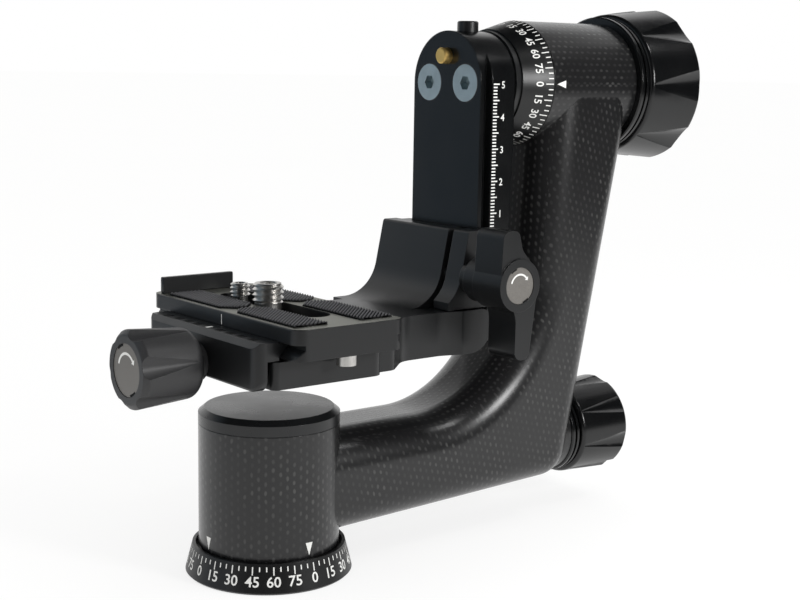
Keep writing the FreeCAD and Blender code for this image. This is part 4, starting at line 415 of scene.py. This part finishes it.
def studio_floor(base):
    """Pale painted floor. It shows white to the eye and in metal, and keeps a soft shadow."""
    glow_level, glow_share = 1.08, 0.7
    material, add, place = start_material("painted_studio_floor")
    mottle = add("TexNoise", {"Vector": place, "Scale": 3.0, "Detail": 2.0})
    tint = add("Mix", {0: mottle, 6: base, 7: shade(base, 0.97)}, data_type="RGBA").outputs[2]
    paint_layer = add("BsdfDiffuse", {"Color": tint})
    glow = add("Emission", {"Color": WHITE, "Strength": glow_level})
    share = add("Math", [seen_or_mirrored(add), glow_share], operation="MULTIPLY")
    add("OutputMaterial", [add("MixShader", [share, paint_layer, glow])])
    return material


def card_finish(name, tint):
    """An evenly lit studio card."""
    material = bpy.data.materials.new(name)
    add = start_tree(material)
    add("OutputMaterial", [add("Emission", {"Color": tint, "Strength": 1.0})])
    return material


materials = {}


# ---- mesh helpers

def mesh_object(name, points, faces, material):
    """An object at the origin from an array of points and an array of faces, all shaded flat."""
    mesh = bpy.data.meshes.new(name)
    mesh.from_pydata(points.tolist(), [], faces.tolist(), shade_flat=True)
    mesh.validate()
    mesh.materials.append(material)
    piece = bpy.data.objects.new(name, mesh)
    bpy.context.scene.collection.objects.link(piece)
    return piece


def grid_faces(rows, columns, closed=False):
    """Quads of a grid of rows by columns points, closed around the columns if asked."""
    place = np.arange(rows * columns).reshape(rows, columns)
    if closed:
        place = np.hstack([place, place[:, :1]])
    quads = np.stack([place[:-1, :-1], place[:-1, 1:], place[1:, 1:], place[1:, :-1]], -1)
    return quads.reshape(-1, 4)


def halve(quads):
    """Two triangles for each quad."""
    return np.concatenate([quads[:, [0, 1, 2]], quads[:, [0, 2, 3]]])


def closed_shell(name, grid, material, smooth_angle=35.0):
    """A closed solid from a grid of points that runs from pole to pole and closes round its columns.

    The poles' points are merged, and the faces are turned outwards: the sum over all triangles of
    the first corner dotted with the cross product of the other two is six times the volume.
    """
    rows, columns = grid.shape[:2]
    points = grid.reshape(-1, 3)
    faces = grid_faces(rows, columns, True)
    first, second, third = (points[halve(faces)[:, corner]] for corner in range(3))
    if np.sum(first * np.cross(second, third)) < 0:
        faces = faces[:, ::-1]
    piece = mesh_object(name, points, faces, material)
    shell = bmesh.new()
    shell.from_mesh(piece.data)
    bmesh.ops.remove_doubles(shell, verts=shell.verts, dist=1e-7)
    shell.to_mesh(piece.data)
    shell.free()
    piece.data.shade_smooth()
    piece.data.set_sharp_from_angle(angle=math.radians(smooth_angle))
    return piece


def text_shape(words, height):
    """Flat points and triangles of a line of text, centred, with capitals of the given height."""
    curve = bpy.data.curves.new("letters", "FONT")
    curve.body = words
    curve.resolution_u = 3
    curve.offset = 0.012  # a little bolder than the font
    holder = bpy.data.objects.new("letters", curve)
    mesh = bpy.data.meshes.new_from_object(holder)
    mesh.calc_loop_triangles()
    points = np.empty(len(mesh.vertices) * 3, np.float32)
    mesh.vertices.foreach_get("co", points)
    triangles = np.empty(len(mesh.loop_triangles) * 3, np.int32)
    mesh.loop_triangles.foreach_get("vertices", triangles)
    bpy.data.objects.remove(holder)
    bpy.data.meshes.remove(mesh)
    bpy.data.curves.remove(curve)
    flat = points.reshape(-1, 3)[:, :2].astype(float)
    middle = (flat.max(0) + flat.min(0)) / 2
    flat = (flat - middle) * height / np.ptp(flat[:, 1])
    return flat, triangles.reshape(-1, 3)


def laid_print(name, patches, wrap, centre, mask, material):
    """One thin print from flat patches, laid on a surface by wrap and turned to face outwards.

    A patch is (flat points, triangles). Outwards is the way from centre to the triangle's middle,
    with the parts that mask has as zero left out.
    """
    points, faces, count = [], [], 0
    for flat, triangles in patches:
        points.append(wrap(np.asarray(flat, float)))
        faces.append(triangles + count)
        count += len(flat)
    points, faces = np.concatenate(points), np.concatenate(faces)
    first, second, third = (points[faces[:, corner]] for corner in range(3))
    outward = ((first + second + third) / 3 - centre) * mask
    inside_out = np.sum(np.cross(second - first, third - first) * outward, axis=1) < 0
    faces[inside_out] = faces[inside_out][:, ::-1]
    return mesh_object(name, points, faces, material)


def grid_patch(along, across):
    """A flat patch from a grid of places along and across."""
    return np.stack([along, across], -1).reshape(-1, 2), halve(grid_faces(*along.shape))


def tick_patches(ticks):
    """Rectangles as flat patches. A tick is (along, from, to, width): it is centred at along, is
    width wide and reaches across from one value to the other, in a grid of 2 by 6 points."""
    side, step = np.meshgrid((-0.5, 0.5), np.linspace(0, 1, 6), indexing="ij")
    return [grid_patch(along + side * width, start + (end - start) * step)
            for along, start, end, width in ticks]


def text_patches(labels, height, turn):
    """Numbers as flat patches. A label is (words, along, across) of its middle, and the two rows of
    turn say how the text's right and up lie in (along, across)."""
    patches = []
    for words, along, across in labels:
        letters, triangles = text_shape(words, height)
        patches.append((letters @ np.array(turn, float) + (along, across), triangles))
    return patches


def pointer_patch(sizes, along, tip):
    """A triangle as a flat patch with its tip at a place across: a grid of 5 by 5 points whose width
    grows in step with the distance from the tip."""
    row, side = np.meshgrid(np.linspace(0, 1, 5), np.linspace(-0.5, 0.5, 5), indexing="ij")
    return grid_patch(along + side * row * sizes.pointer_width, tip + row * sizes.pointer_length)


def arc_patch(radius, start, end, width, arrow=False):
    """A ring segment as a flat patch about the origin, from one angle to another, in degrees.

    An arrow's head goes on for some degrees more. It starts three times as wide and closes to a point.
    """
    head_turn, head_steps, body_steps = 14, 6, 25
    body = np.linspace(start, end, body_steps)
    half = np.full(body_steps, width / 2)
    if arrow:
        head = end + math.copysign(head_turn, end - start)
        body = np.concatenate([body, np.linspace(end, head, head_steps)])
        half = np.concatenate([half, np.linspace(3 * width / 2, 0.02 * width, head_steps)])
    angle = np.radians(body)[:, None]
    reach = radius + half[:, None] * np.array([-1, 0, 1])
    return grid_patch(reach * np.cos(angle), reach * np.sin(angle))


def plane_print(name, patches, level, inside, axes, material):
    """A print on a plane: along and across go to two axes, and the third is held at level. The piece
    that carries it lies towards inside on that third axis."""
    mask = np.isin(np.arange(3), axes, invert=True)

    def on_plane(flat):
        points = np.full((len(flat), 3), level)
        points[:, axes] = flat
        return points

    return laid_print(name, patches, on_plane, inside * mask, mask, material)


def upright(radius, angle, height, centre=(0.0, 0.0)):
    """Points round an upright axis: x and y are the radius times the angle's cosine and sine."""
    return np.stack([centre[0] + radius * np.cos(angle), centre[1] + radius * np.sin(angle), height], -1)


def swept_round(profile, angle, centre=(0.0, 0.0)):
    """A grid of points from a profile of radii and heights swept round an upright axis. A radius may
    be an array that goes with the angle."""
    reach = np.array([np.broadcast_to(radius, angle.shape) for radius, _ in profile])
    level = np.array([np.full(angle.shape, height) for _, height in profile])
    return upright(reach, angle, level, centre)


# ---- operators

class GIMBAL_OT_materials(Operator):
    """Give every CAD piece its procedural material"""

    bl_idname = "gimbal.materials"
    bl_label = "Materials"

    def execute(self, context):
        tints = context.scene.gimbal_colours
        pad_top, plate_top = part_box("plate_pads")[1].z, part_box("quick_release_plate")[1].z
        ink_grain = 0.001 * MM
        materials.update({
            "black_anodised": anodised("anodised_black_satin", tints.anodised, 0.36),
            "smooth_anodised": anodised("anodised_black_smooth", tints.anodised, 0.27, edge=0.1 * MM),
            "carbon_twill": carbon(tints, context.scene.gimbal_scales),
            "zinc_steel": turned_metal("zinc_plated_steel", tints.zinc, 0.5),
            "black_steel": anodised("oil_blacked_steel", tints.oxide, 0.45),
            "plain_steel": turned_metal("turned_steel", tints.steel, 0.34),
            "plain_aluminium": turned_metal("turned_aluminium", tints.aluminium, 0.34),
            "brass": turned_metal("turned_brass", tints.brass, 0.55),
            "bronze": turned_metal("sintered_bronze", tints.bronze, 0.5),
            "acetal": moulded("moulded_acetal", tints.acetal, 0.45),
            "grey_cap": anodised("anodised_grey", tints.cap, 0.42),
            "pad_rubber": ribbed_rubber("moulded_rubber", tints.rubber, 0.6, pad_top),
            "ink": moulded("white_printing_ink", tints.ink, 0.5, ink_grain),
            # painted shade: a darker copy of the black, laid flat where the jaw's pockets and the caps'
            # notches are recessed
            "pocket": moulded("painted_pocket_shade", shade(tints.polished, 0.3), 0.85, ink_grain),
        })
        knobs = ("tilt_lock_knob", "pan_lock_knob", "tilt_knob_collar", "pan_knob_collar")
        own = {
            **dict.fromkeys(knobs, anodised("anodised_black_bright", tints.polished, 0.22)),
            "swing_arm": anodised("anodised_black_rail", tints.polished, 0.22, edge=0.5 * MM),
            "tilt_scale_ring": anodised("anodised_black_ring", tints.polished, 0.34),
            "base_ring": anodised("anodised_black_base", tints.polished, 0.38),
            "qr_knob": anodised("anodised_black_clamp_knob", tints.clamp_knob, 0.46),
            "plate_stop_screws": materials["plain_steel"],
            # the plate's upward top faces get a painted reflection, pale and metallic
            "quick_release_plate": plate_with_painted_top_reflection("anodised_plate_with_painted_top_reflection", tints.anodised, tints.painted_top_reflection,
                                                 0.38, plate_top),
        }
        for row in frame["record"]["subparts"]:
            piece = frame["nodes"][row["node"]]
            piece.data.materials.clear()
            piece.data.materials.append(own.get(row["node"], materials[row["material_slot"]]))
        return {"FINISHED"}


def ring_scale(sizes, ring, body, cone, hub, pointers, turned, around):
    """Print ticks and numbers on a conical ring, and pointers on the hub beside it.

    The cone is its edge's radius, how fast that grows away from the edge, and the edge's place along
    the axis. The pointers are their name, their tips' place and their places round the hub in
    degrees. Turned makes points of radii, angles and places along the axis.
    """
    radius, growth, edge = cone
    hub += sizes.lift

    def on_cone(flat):
        """Along is the angle times the edge's radius, across is the distance from the edge."""
        return turned(radius + growth * flat[:, 1] + sizes.lift, flat[:, 0] / radius, edge - flat[:, 1])

    def on_hub(flat):
        """Along is the angle times the hub's radius, across is the place along the axis."""
        return turned(hub, flat[:, 0] / hub, flat[:, 1])

    long_tick, short_tick, start, digit = (
        getattr(sizes, f"{ring}_{size}") for size in ("long_tick", "short_tick", "tick_start", "digit"))
    ticks, labels = [], []
    for degrees in range(0, 360, sizes.ring_step):
        numbered = degrees % sizes.label_step == 0
        arc = math.radians(degrees) * radius
        ticks.append((arc, start, start + (long_tick if numbered else short_tick), sizes.tick_width))
        if numbered:
            labels.append((str(degrees % sizes.label_wrap), arc, sizes.digit_drop))
    numbers = text_patches(labels, digit, ((1, 0), (0, -1)))
    pointer_name, tip, turns = pointers
    triangles = [pointer_patch(sizes, hub * math.radians(degrees), tip) for degrees in turns]
    for name, patches, wrap, carrier in ((f"{ring}_scale_ticks", tick_patches(ticks), on_cone, body),
                                         (f"{ring}_scale_numbers", numbers, on_cone, body),
                                         (pointer_name, triangles, on_hub, "arm")):
        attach(laid_print(name, patches, wrap, *around, materials["ink"]), carrier)


class GIMBAL_OT_base_scale(Operator):
    """Print the pan scale on the conical base ring and two pointers on the hub"""

    bl_idname = "gimbal.base_scale"
    bl_label = "Base scale"

    def execute(self, context):
        sizes = context.scene.gimbal_scales
        ring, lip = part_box("base_ring")[1], sizes.pan_lip_radius
        cone = (lip, (ring.x - lip) / sizes.pan_slope, ring.z)
        pointers = ("pan_pointers", sizes.pan_pointer_tip, (180, 270))
        ring_scale(sizes, "pan", "base", cone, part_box("hub_cap")[1].x, pointers, upright,
                   ((0, 0, 0), (1, 1, 0)))
        return {"FINISHED"}


class GIMBAL_OT_tilt_scale(Operator):
    """Print the tilt scale on its conical ring and the pointer on the carbon hub"""

    bl_idname = "gimbal.tilt_scale"
    bl_label = "Tilt scale"

    def execute(self, context):
        sizes = context.scene.gimbal_scales
        low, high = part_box("tilt_scale_ring")
        axis, large = sizes.tilt_axis, high.z - sizes.tilt_axis

        def level(radius, angle, place):
            """Points round the tilt axis, with angles that start on the near side and run down."""
            return np.stack([place, -radius * np.cos(angle), axis - radius * np.sin(angle)], -1)

        cone = (large, (sizes.tilt_front_radius - large) / (high.x - low.x), high.x)
        pointers = ("tilt_pointer", high.x + sizes.tilt_pointer_gap, (0,))
        ring_scale(sizes, "tilt", "swing", cone, sizes.tilt_hub_radius, pointers, level,
                   ((0, 0, axis), (0, 1, 1)))
        return {"FINISHED"}


class GIMBAL_OT_rail_scale(Operator):
    """Print the millimetre scale on the near side of the swing arm"""

    bl_idname = "gimbal.rail_scale"
    bl_label = "Rail scale"

    def execute(self, context):
        sizes = context.scene.gimbal_scales
        low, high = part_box("swing_arm")
        ticks, labels = [], []
        start = sizes.rail_start
        number_place = start + sizes.rail_long_tick + sizes.rail_digit_gap
        for step in range(sizes.rail_ticks + 1):
            reach = sizes.rail_long_tick if step % 5 == 0 else sizes.rail_short_tick
            height = sizes.rail_top - step * MM
            ticks.append((height, start, start + reach, sizes.rail_tick_width))
            if step % 10 == 0:
                labels.append((str((sizes.rail_ticks - step) // 10), height - sizes.rail_digit_drop,
                               number_place))
        patches = tick_patches(ticks) + text_patches(labels, sizes.rail_digit, ((0, 1), (1, 0)))
        # along the height and across the tilt axis, on the near side face
        scale = plane_print("rail_scale", patches, low.y - sizes.lift, high.y, [2, 0], materials["ink"])
        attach(scale, "swing")
        return {"FINISHED"}


class GIMBAL_OT_small_marks(Operator):
    """Mark the caps of the clamp knob and the lever, the plate's middle and the clamp jaw's top"""

    bl_idname = "gimbal.small_marks"
    bl_label = "Small marks"

    def execute(self, context):
        lift = context.scene.gimbal_scales.lift
        self.cap_marks("rail_lever_cap", "lever", 1, lift)
        self.cap_marks("qr_knob_cap", "clamp_knob", 0, lift)
        self.plate_index(lift)
        self.jaw_pockets(lift)
        return {"FINISHED"}

    def cap_marks(self, node, body, axis, lift):
        """A turning arrow on the upper half of a cap disc, and two notches at its edge drawn as flat patches
        of painted shade.
        """
        low, high = (np.array(corner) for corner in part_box(node))
        middle = (low + high) / 2
        radius = (high[2] - low[2]) / 2
        axes = [1 - axis, 2]

        def placed(flat, triangles):
            """A flat patch seen upright from the side that the disc faces, about its middle."""
            return flat * (1 if axis else -1, 1) + middle[axes], triangles

        # the arrow's run and the notches' starts are in degrees
        arrow_radius, arrow_width, arrow_run = 0.62 * radius, 0.10 * radius, (165, 40)
        notch_radius, notch_width, notch_arc, notch_starts = 0.95 * radius, 0.09 * radius, 26, (105, 285)
        arrow = [placed(*arc_patch(arrow_radius, *arrow_run, arrow_width, arrow=True))]
        notches = [placed(*arc_patch(notch_radius, start, start + notch_arc, notch_width))
                   for start in notch_starts]
        for name, patches, finish in (("_arrow", arrow, "ink"), ("_notches", notches, "pocket")):
            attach(plane_print(node + name, patches, low[axis] - lift, middle[axis], axes,
                                materials[finish]), body)

    def plate_index(self, lift):
        """A thin line at the middle of the plate's edge towards the clamp knob."""
        foot_drop, head_drop, width = 3.9 * MM, 1.0 * MM, 0.35 * MM
        low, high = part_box("quick_release_plate")
        ticks = tick_patches([(0.0, high.z - foot_drop, high.z - head_drop, width)])
        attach(plane_print("plate_index", ticks, low.x - lift, high.x, [1, 2], materials["ink"]), "plate")

    def jaw_pockets(self, lift):
        """Eight pockets drawn as flat patches of painted shade, and one white middle mark, along the top of
        the clamp jaw.
        """
        pocket_places, pocket_width, mark_width = (6, 11.5, 17, 23), 3.2 * MM, 1.1 * MM
        front_gap, pocket_length = 2.4 * MM, 2.2 * MM
        low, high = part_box("qr_jaw")
        front = low.x + front_gap
        back = front + pocket_length
        pockets = tick_patches([(side * place * MM, front, back, pocket_width)
                                for place in pocket_places for side in (-1, 1)])
        mark = tick_patches([(0.0, front, back, mark_width)])
        for name, patches, finish in (("jaw_pockets", pockets, "pocket"), ("jaw_middle_mark", mark, "ink")):
            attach(plane_print(name, patches, high.z + lift, low.z, [1, 0], materials[finish]),
                    "plate_clamp")


class GIMBAL_OT_trim(Operator):
    """Replace the hub's cap and the plate's lip by pieces with crisper edges"""

    bl_idname = "gimbal.trim"
    bl_label = "Hub cap and lip"

    def execute(self, context):
        sizes = context.scene.gimbal_trim
        self.hub_cap(sizes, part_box("hub_cap")[1])
        self.lip(sizes, *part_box("plate_lip"))
        return {"FINISHED"}

    def hub_cap(self, sizes, high):
        """A profile of radius and height swept round the hub's axis, in 160 steps."""
        radius, top, edge = high.x, high.z, sizes.cap_edge
        foot, shoulder = top - sizes.cap_height, radius - sizes.cap_bevel_width
        profile = [(0, foot), (radius - edge, foot), (radius, foot + edge), (radius, top - sizes.cap_bevel),
                   (shoulder, top - edge), (shoulder - edge, top), (0, top)]
        grid = swept_round(profile, np.linspace(0, FULL_TURN, 160, endpoint=False))
        cap = closed_shell("turned_hub_cap", grid, materials["smooth_anodised"])
        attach(cap, "arm")
        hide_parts("hub_cap")

    def lip(self, sizes, low, high):
        """An eight-sided section carried along the tilt axis, drawn in a little at both ends."""
        edge, near, far = sizes.lip_edge, low.y, low.y + sizes.lip_thickness
        section = np.array([(near + edge, low.z), (far - edge, low.z), (far, low.z + edge),
                            (far, high.z - edge), (far - edge, high.z), (near + edge, high.z),
                            (near, high.z - edge), (near, low.z + edge)])
        middle = section.mean(0)
        drawn_in = middle + (section - middle) * (1 - 2 * edge / sizes.lip_thickness)
        pole = np.tile(middle, (8, 1))
        rows = [(low.x, pole), (low.x, drawn_in), (low.x + edge, section),
                (high.x - edge, section), (high.x, drawn_in), (high.x, pole)]
        grid = np.array([np.column_stack([np.full(8, place), shape]) for place, shape in rows])
        lip = closed_shell("milled_plate_lip", grid, materials["black_anodised"])
        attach(lip, "plate")
        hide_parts("plate_lip")


class GIMBAL_OT_pads(Operator):
    """Replace the four plain pads of the plate by ribbed ones"""

    bl_idname = "gimbal.pads"
    bl_label = "Ribbed pads"

    def execute(self, context):
        low, high = (np.array(corner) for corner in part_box("plate_pads"))
        corners = [(side, end) for side in (-1, 1) for end in (-1, 1)]
        for place, (side, end) in enumerate(corners, 1):
            grid = self.pad(context.scene.gimbal_pads, side, end, low, high)
            pad = closed_shell(f"ribbed_pad_{place}", grid, materials["pad_rubber"], smooth_angle=20.0)
            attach(pad, "plate")
            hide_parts("plate_pads")
        return {"FINISHED"}

    def pad(self, sizes, side, end, low, high):
        """One pad as a row of closed sections across it.

        Ribs run at 45 degrees to the pad: the top drops by a triangle wave of y - x over the pitch,
        flattened above and below. Near the inner end both sides close in at 45 degrees.
        """
        columns, rows_per_rib, pole_height = 56, 8, 0.1 * MM
        rib_ends, groove_starts = 0.3125, 0.9375  # shares of the wave
        middle = (low + high) / 2
        reach = (high[1] - low[1]) / 2 - sizes.gap / 2
        along = np.linspace(0, reach, int(reach / sizes.pitch) * rows_per_rib + 1)[:, None]
        closing = np.clip(sizes.notch - along, 0, None)
        inner, outer = sizes.inner + closing, sizes.outer - closing
        top = inner + sizes.edge + (outer - inner - 2 * sizes.edge) * np.linspace(0, 1, columns)
        across = np.hstack([inner, inner, top, outer, outer])
        x = middle[0] + side * across
        y = middle[1] + end * (sizes.gap / 2 + np.broadcast_to(along, across.shape))
        wave = np.abs(2 * ((y - x) / sizes.pitch % 1) - 1)
        height = high[2] - sizes.groove * np.interp(wave, (rib_ends, groove_starts), (0, 1))
        height[:, [1, -2]] -= sizes.edge
        height[:, [0, -1]] = low[2]
        rows = np.stack([x, y, height], -1)
        first, last = (np.broadcast_to(row[[0, -1]].mean(0) + [0, 0, pole_height], (1,) + row.shape)
                       for row in (rows[0], rows[-1]))
        return np.concatenate([first, rows, last])


class GIMBAL_OT_screws(Operator):
    """Replace the two plain camera screws by threaded ones with a bore and a hexagon socket"""

    bl_idname = "gimbal.screws"
    bl_label = "Camera screws"

    def execute(self, context):
        sizes = context.scene.gimbal_screws
        bright = turned_metal("bright_zinc_thread", context.scene.gimbal_colours.steel, 0.32)
        threads = {"large": (sizes.large_radius, sizes.large_pitch),
                   "small": (sizes.small_radius, sizes.small_pitch)}
        for name, (radius, pitch) in threads.items():
            node = "camera_screw_" + name
            grid = self.screw(sizes, *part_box(node), radius, pitch)
            screw = closed_shell("threaded_" + node, grid, bright)
            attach(screw, name + "_screw")
            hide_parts(node)
        return {"FINISHED"}

    def screw(self, sizes, low, high, radius, pitch):
        """A turned profile swept round the screw's axis.

        Along the thread the radius drops by the depth times a triangle wave of the height over the
        pitch less the angle over a full turn, and it narrows at the tip. The socket's wall is a
        hexagon: its radius is the half width over the cosine of the angle to the nearest flat's middle.
        """
        columns, rows_per_turn, edge, bore_edge, socket_share = 96, 14, 0.35 * MM, 0.25 * MM, 0.36
        tip_start, tip_narrowing = 0.5, 0.9  # in thread depths
        angle = np.linspace(0, FULL_TURN, columns, endpoint=False)
        head, bore, depth = (high.x - low.x) / 2, sizes.bore_share * radius, sizes.depth_share * pitch
        foot, tip, thread_foot = low.z, high.z, sizes.thread_foot
        head_top, neck = foot + sizes.head_height, radius - sizes.neck
        socket_top, bore_foot = foot + sizes.bore_depth, tip - sizes.bore_depth
        nearest = (angle + math.pi / 6) % (math.pi / 3) - math.pi / 6
        socket = socket_share * head / np.cos(nearest)
        thread = np.linspace(thread_foot, tip - tip_start * depth,
                             int((tip - thread_foot) / pitch * rows_per_turn))
        wave = np.abs(2 * ((thread[:, None] / pitch - angle / FULL_TURN) % 1) - 1)
        narrowing = (thread[:, None] - tip + tip_narrowing * depth).clip(0)
        wall = radius - np.maximum(depth * wave, narrowing)
        profile = [(0, socket_top), (socket, socket_top), (socket, foot), (head - edge, foot),
                   (head, foot + edge), (head, head_top - edge), (head - edge, head_top), (neck, head_top),
                   (neck, thread_foot), *zip(wall, thread), (radius - depth, tip), (bore + bore_edge, tip),
                   (bore, tip - bore_edge), (bore, bore_foot), (0, bore_foot)]
        return swept_round(profile, angle, ((low.x + high.x) / 2, (low.y + high.y) / 2))


def level_corners(low, high, height):
    """The corners of a level rectangle, from its lowest x and y to its highest."""
    return [(*low, height), (high[0], low[1], height), (*high, height), (low[0], high[1], height)]


class GIMBAL_OT_stage(Operator):
    """Floor, world, lamps, cards and camera"""

    bl_idname = "gimbal.stage"
    bl_label = "Stage"

    def execute(self, context):
        scene, stage = context.scene, context.scene.gimbal_stage
        half = stage.floor_size / 2
        self.panel("floor", level_corners((-half, -half), (half, half), 0.0),
                   studio_floor(scene.gimbal_colours.floor))
        dark = card_finish("black_card", colour("1b1c1e"))
        blue = card_finish("blue_grey_card", colour("81909d"))
        ceiling = 0.75
        cards = [self.panel("ceiling_card", level_corners((-0.9, -0.9), (0.72, 0.80), ceiling), dark)]
        # upright cards: a blue-grey one on the far left, and dark ones from the left round to the right
        left, near, far, right = (-0.60, -0.10), (-0.30, -0.60), (0.42, -0.62), (0.80, -0.10)
        for name, start, end, height, finish in (("side_card", (-0.13, 0.36), (-0.42, 0.0), 0.6, blue),
                                                 ("near_card", left, near, ceiling, dark),
                                                 ("front_card", near, far, ceiling, dark),
                                                 ("far_card", far, right, ceiling, dark)):
            corners = [(*start, 0.0), (*start, height), (*end, height), (*end, 0.0)]
            cards.append(self.panel(name, corners, finish))
        for card in cards:
            card.visible_camera = card.visible_diffuse = card.visible_shadow = False
        self.world(scene, stage)
        # place, target, side and watts
        self.lamp("top_softbox", (0.158, -0.415, 0.225), (0.08, -0.0165, 0.046), 0.10, 0.8)
        self.lamp("high_softbox", (0.33, -0.26, 0.50), (0.02, -0.02, 0.19), 0.06, 0.25)
        self.lamp("side_softbox", (0.55, -0.75, 0.45), (0.05, 0.0, 0.09), 0.7, 0.9)
        self.camera(scene, stage)
        scene.view_settings.view_transform = "Standard"
        return {"FINISHED"}

    def panel(self, name, corners, material):
        """A flat four-cornered stage piece."""
        panel = mesh_object(name, np.array(corners), np.array([[0, 1, 2, 3]]), material)
        return panel

    def world(self, scene, stage):
        """White for the eye and in metal, and even room light for everything else."""
        world = bpy.data.worlds.new("studio")
        add = start_tree(world)
        strength = add("MapRange", [seen_or_mirrored(add), 0.0, 1.0, stage.daylight, 1.0])
        add("OutputWorld", [add("Background", {"Color": WHITE, "Strength": strength})])
        scene.world = world

    def lamp(self, name, place, target, side, watts):
        """A square soft lamp that points at a target."""
        light = bpy.data.lights.new(name, "AREA")
        light.shape = "SQUARE"
        light.size = side
        light.energy = watts
        lamp = bpy.data.objects.new(name, light)
        bpy.context.scene.collection.objects.link(lamp)
        lamp.location = place
        lamp.rotation_euler = (Vector(target) - Vector(place)).to_track_quat("-Z", "Y").to_euler()

    def camera(self, scene, stage):
        """A camera at a place that looks at a target, with a small roll."""
        lens = bpy.data.cameras.new("camera")
        lens.sensor_width = 36.0
        lens.lens = stage.lens
        lens.clip_start = 0.01
        camera = bpy.data.objects.new("camera", lens)
        scene.collection.objects.link(camera)
        sight = Vector(stage.camera_target) - Vector(stage.camera_place)
        turn = sight.to_track_quat("-Z", "Y").to_matrix().to_4x4()
        roll = Matrix.Rotation(stage.camera_roll, 4, "Z")
        camera.matrix_world = Matrix.Translation(stage.camera_place) @ turn @ roll
        scene.camera = camera


class GIMBAL_PT_panel(Panel):
    """Settings and steps of the dressing"""

    bl_idname = "GIMBAL_PT_panel"
    bl_label = "Gimbal head"
    bl_space_type = "VIEW_3D"
    bl_region_type = "UI"
    bl_category = "Gimbal head"

    def draw(self, context):
        for step in STEPS:
            self.layout.operator(step.bl_idname)
        for name in SETTINGS:
            settings = getattr(context.scene, name)
            for item in settings.bl_rna.properties:
                if not item.is_readonly and item.identifier != "name":
                    self.layout.prop(settings, item.identifier)


SETTINGS = {
    "gimbal_colours": GimbalColours,
    "gimbal_scales": GimbalScales,
    "gimbal_trim": GimbalTrim,
    "gimbal_pads": GimbalPads,
    "gimbal_screws": GimbalScrews,
    "gimbal_stage": GimbalStage,
}
STEPS = (GIMBAL_OT_materials, GIMBAL_OT_base_scale, GIMBAL_OT_tilt_scale, GIMBAL_OT_rail_scale,
         GIMBAL_OT_small_marks, GIMBAL_OT_trim, GIMBAL_OT_pads, GIMBAL_OT_screws, GIMBAL_OT_stage)


def register():
    for kind in (*SETTINGS.values(), *STEPS, GIMBAL_PT_panel):
        bpy.utils.register_class(kind)
    for name, kind in SETTINGS.items():
        setattr(bpy.types.Scene, name, PointerProperty(type=kind))


def unregister():
    for name in SETTINGS:
        delattr(bpy.types.Scene, name)
    for kind in reversed((*SETTINGS.values(), *STEPS, GIMBAL_PT_panel)):
        bpy.utils.unregister_class(kind)


def main():
    """Run every step."""
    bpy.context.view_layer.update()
    register()
    for step in STEPS:
        area, name = step.bl_idname.split(".")
        getattr(getattr(bpy.ops, area), name)()


if __name__ == "__main__":
    main()
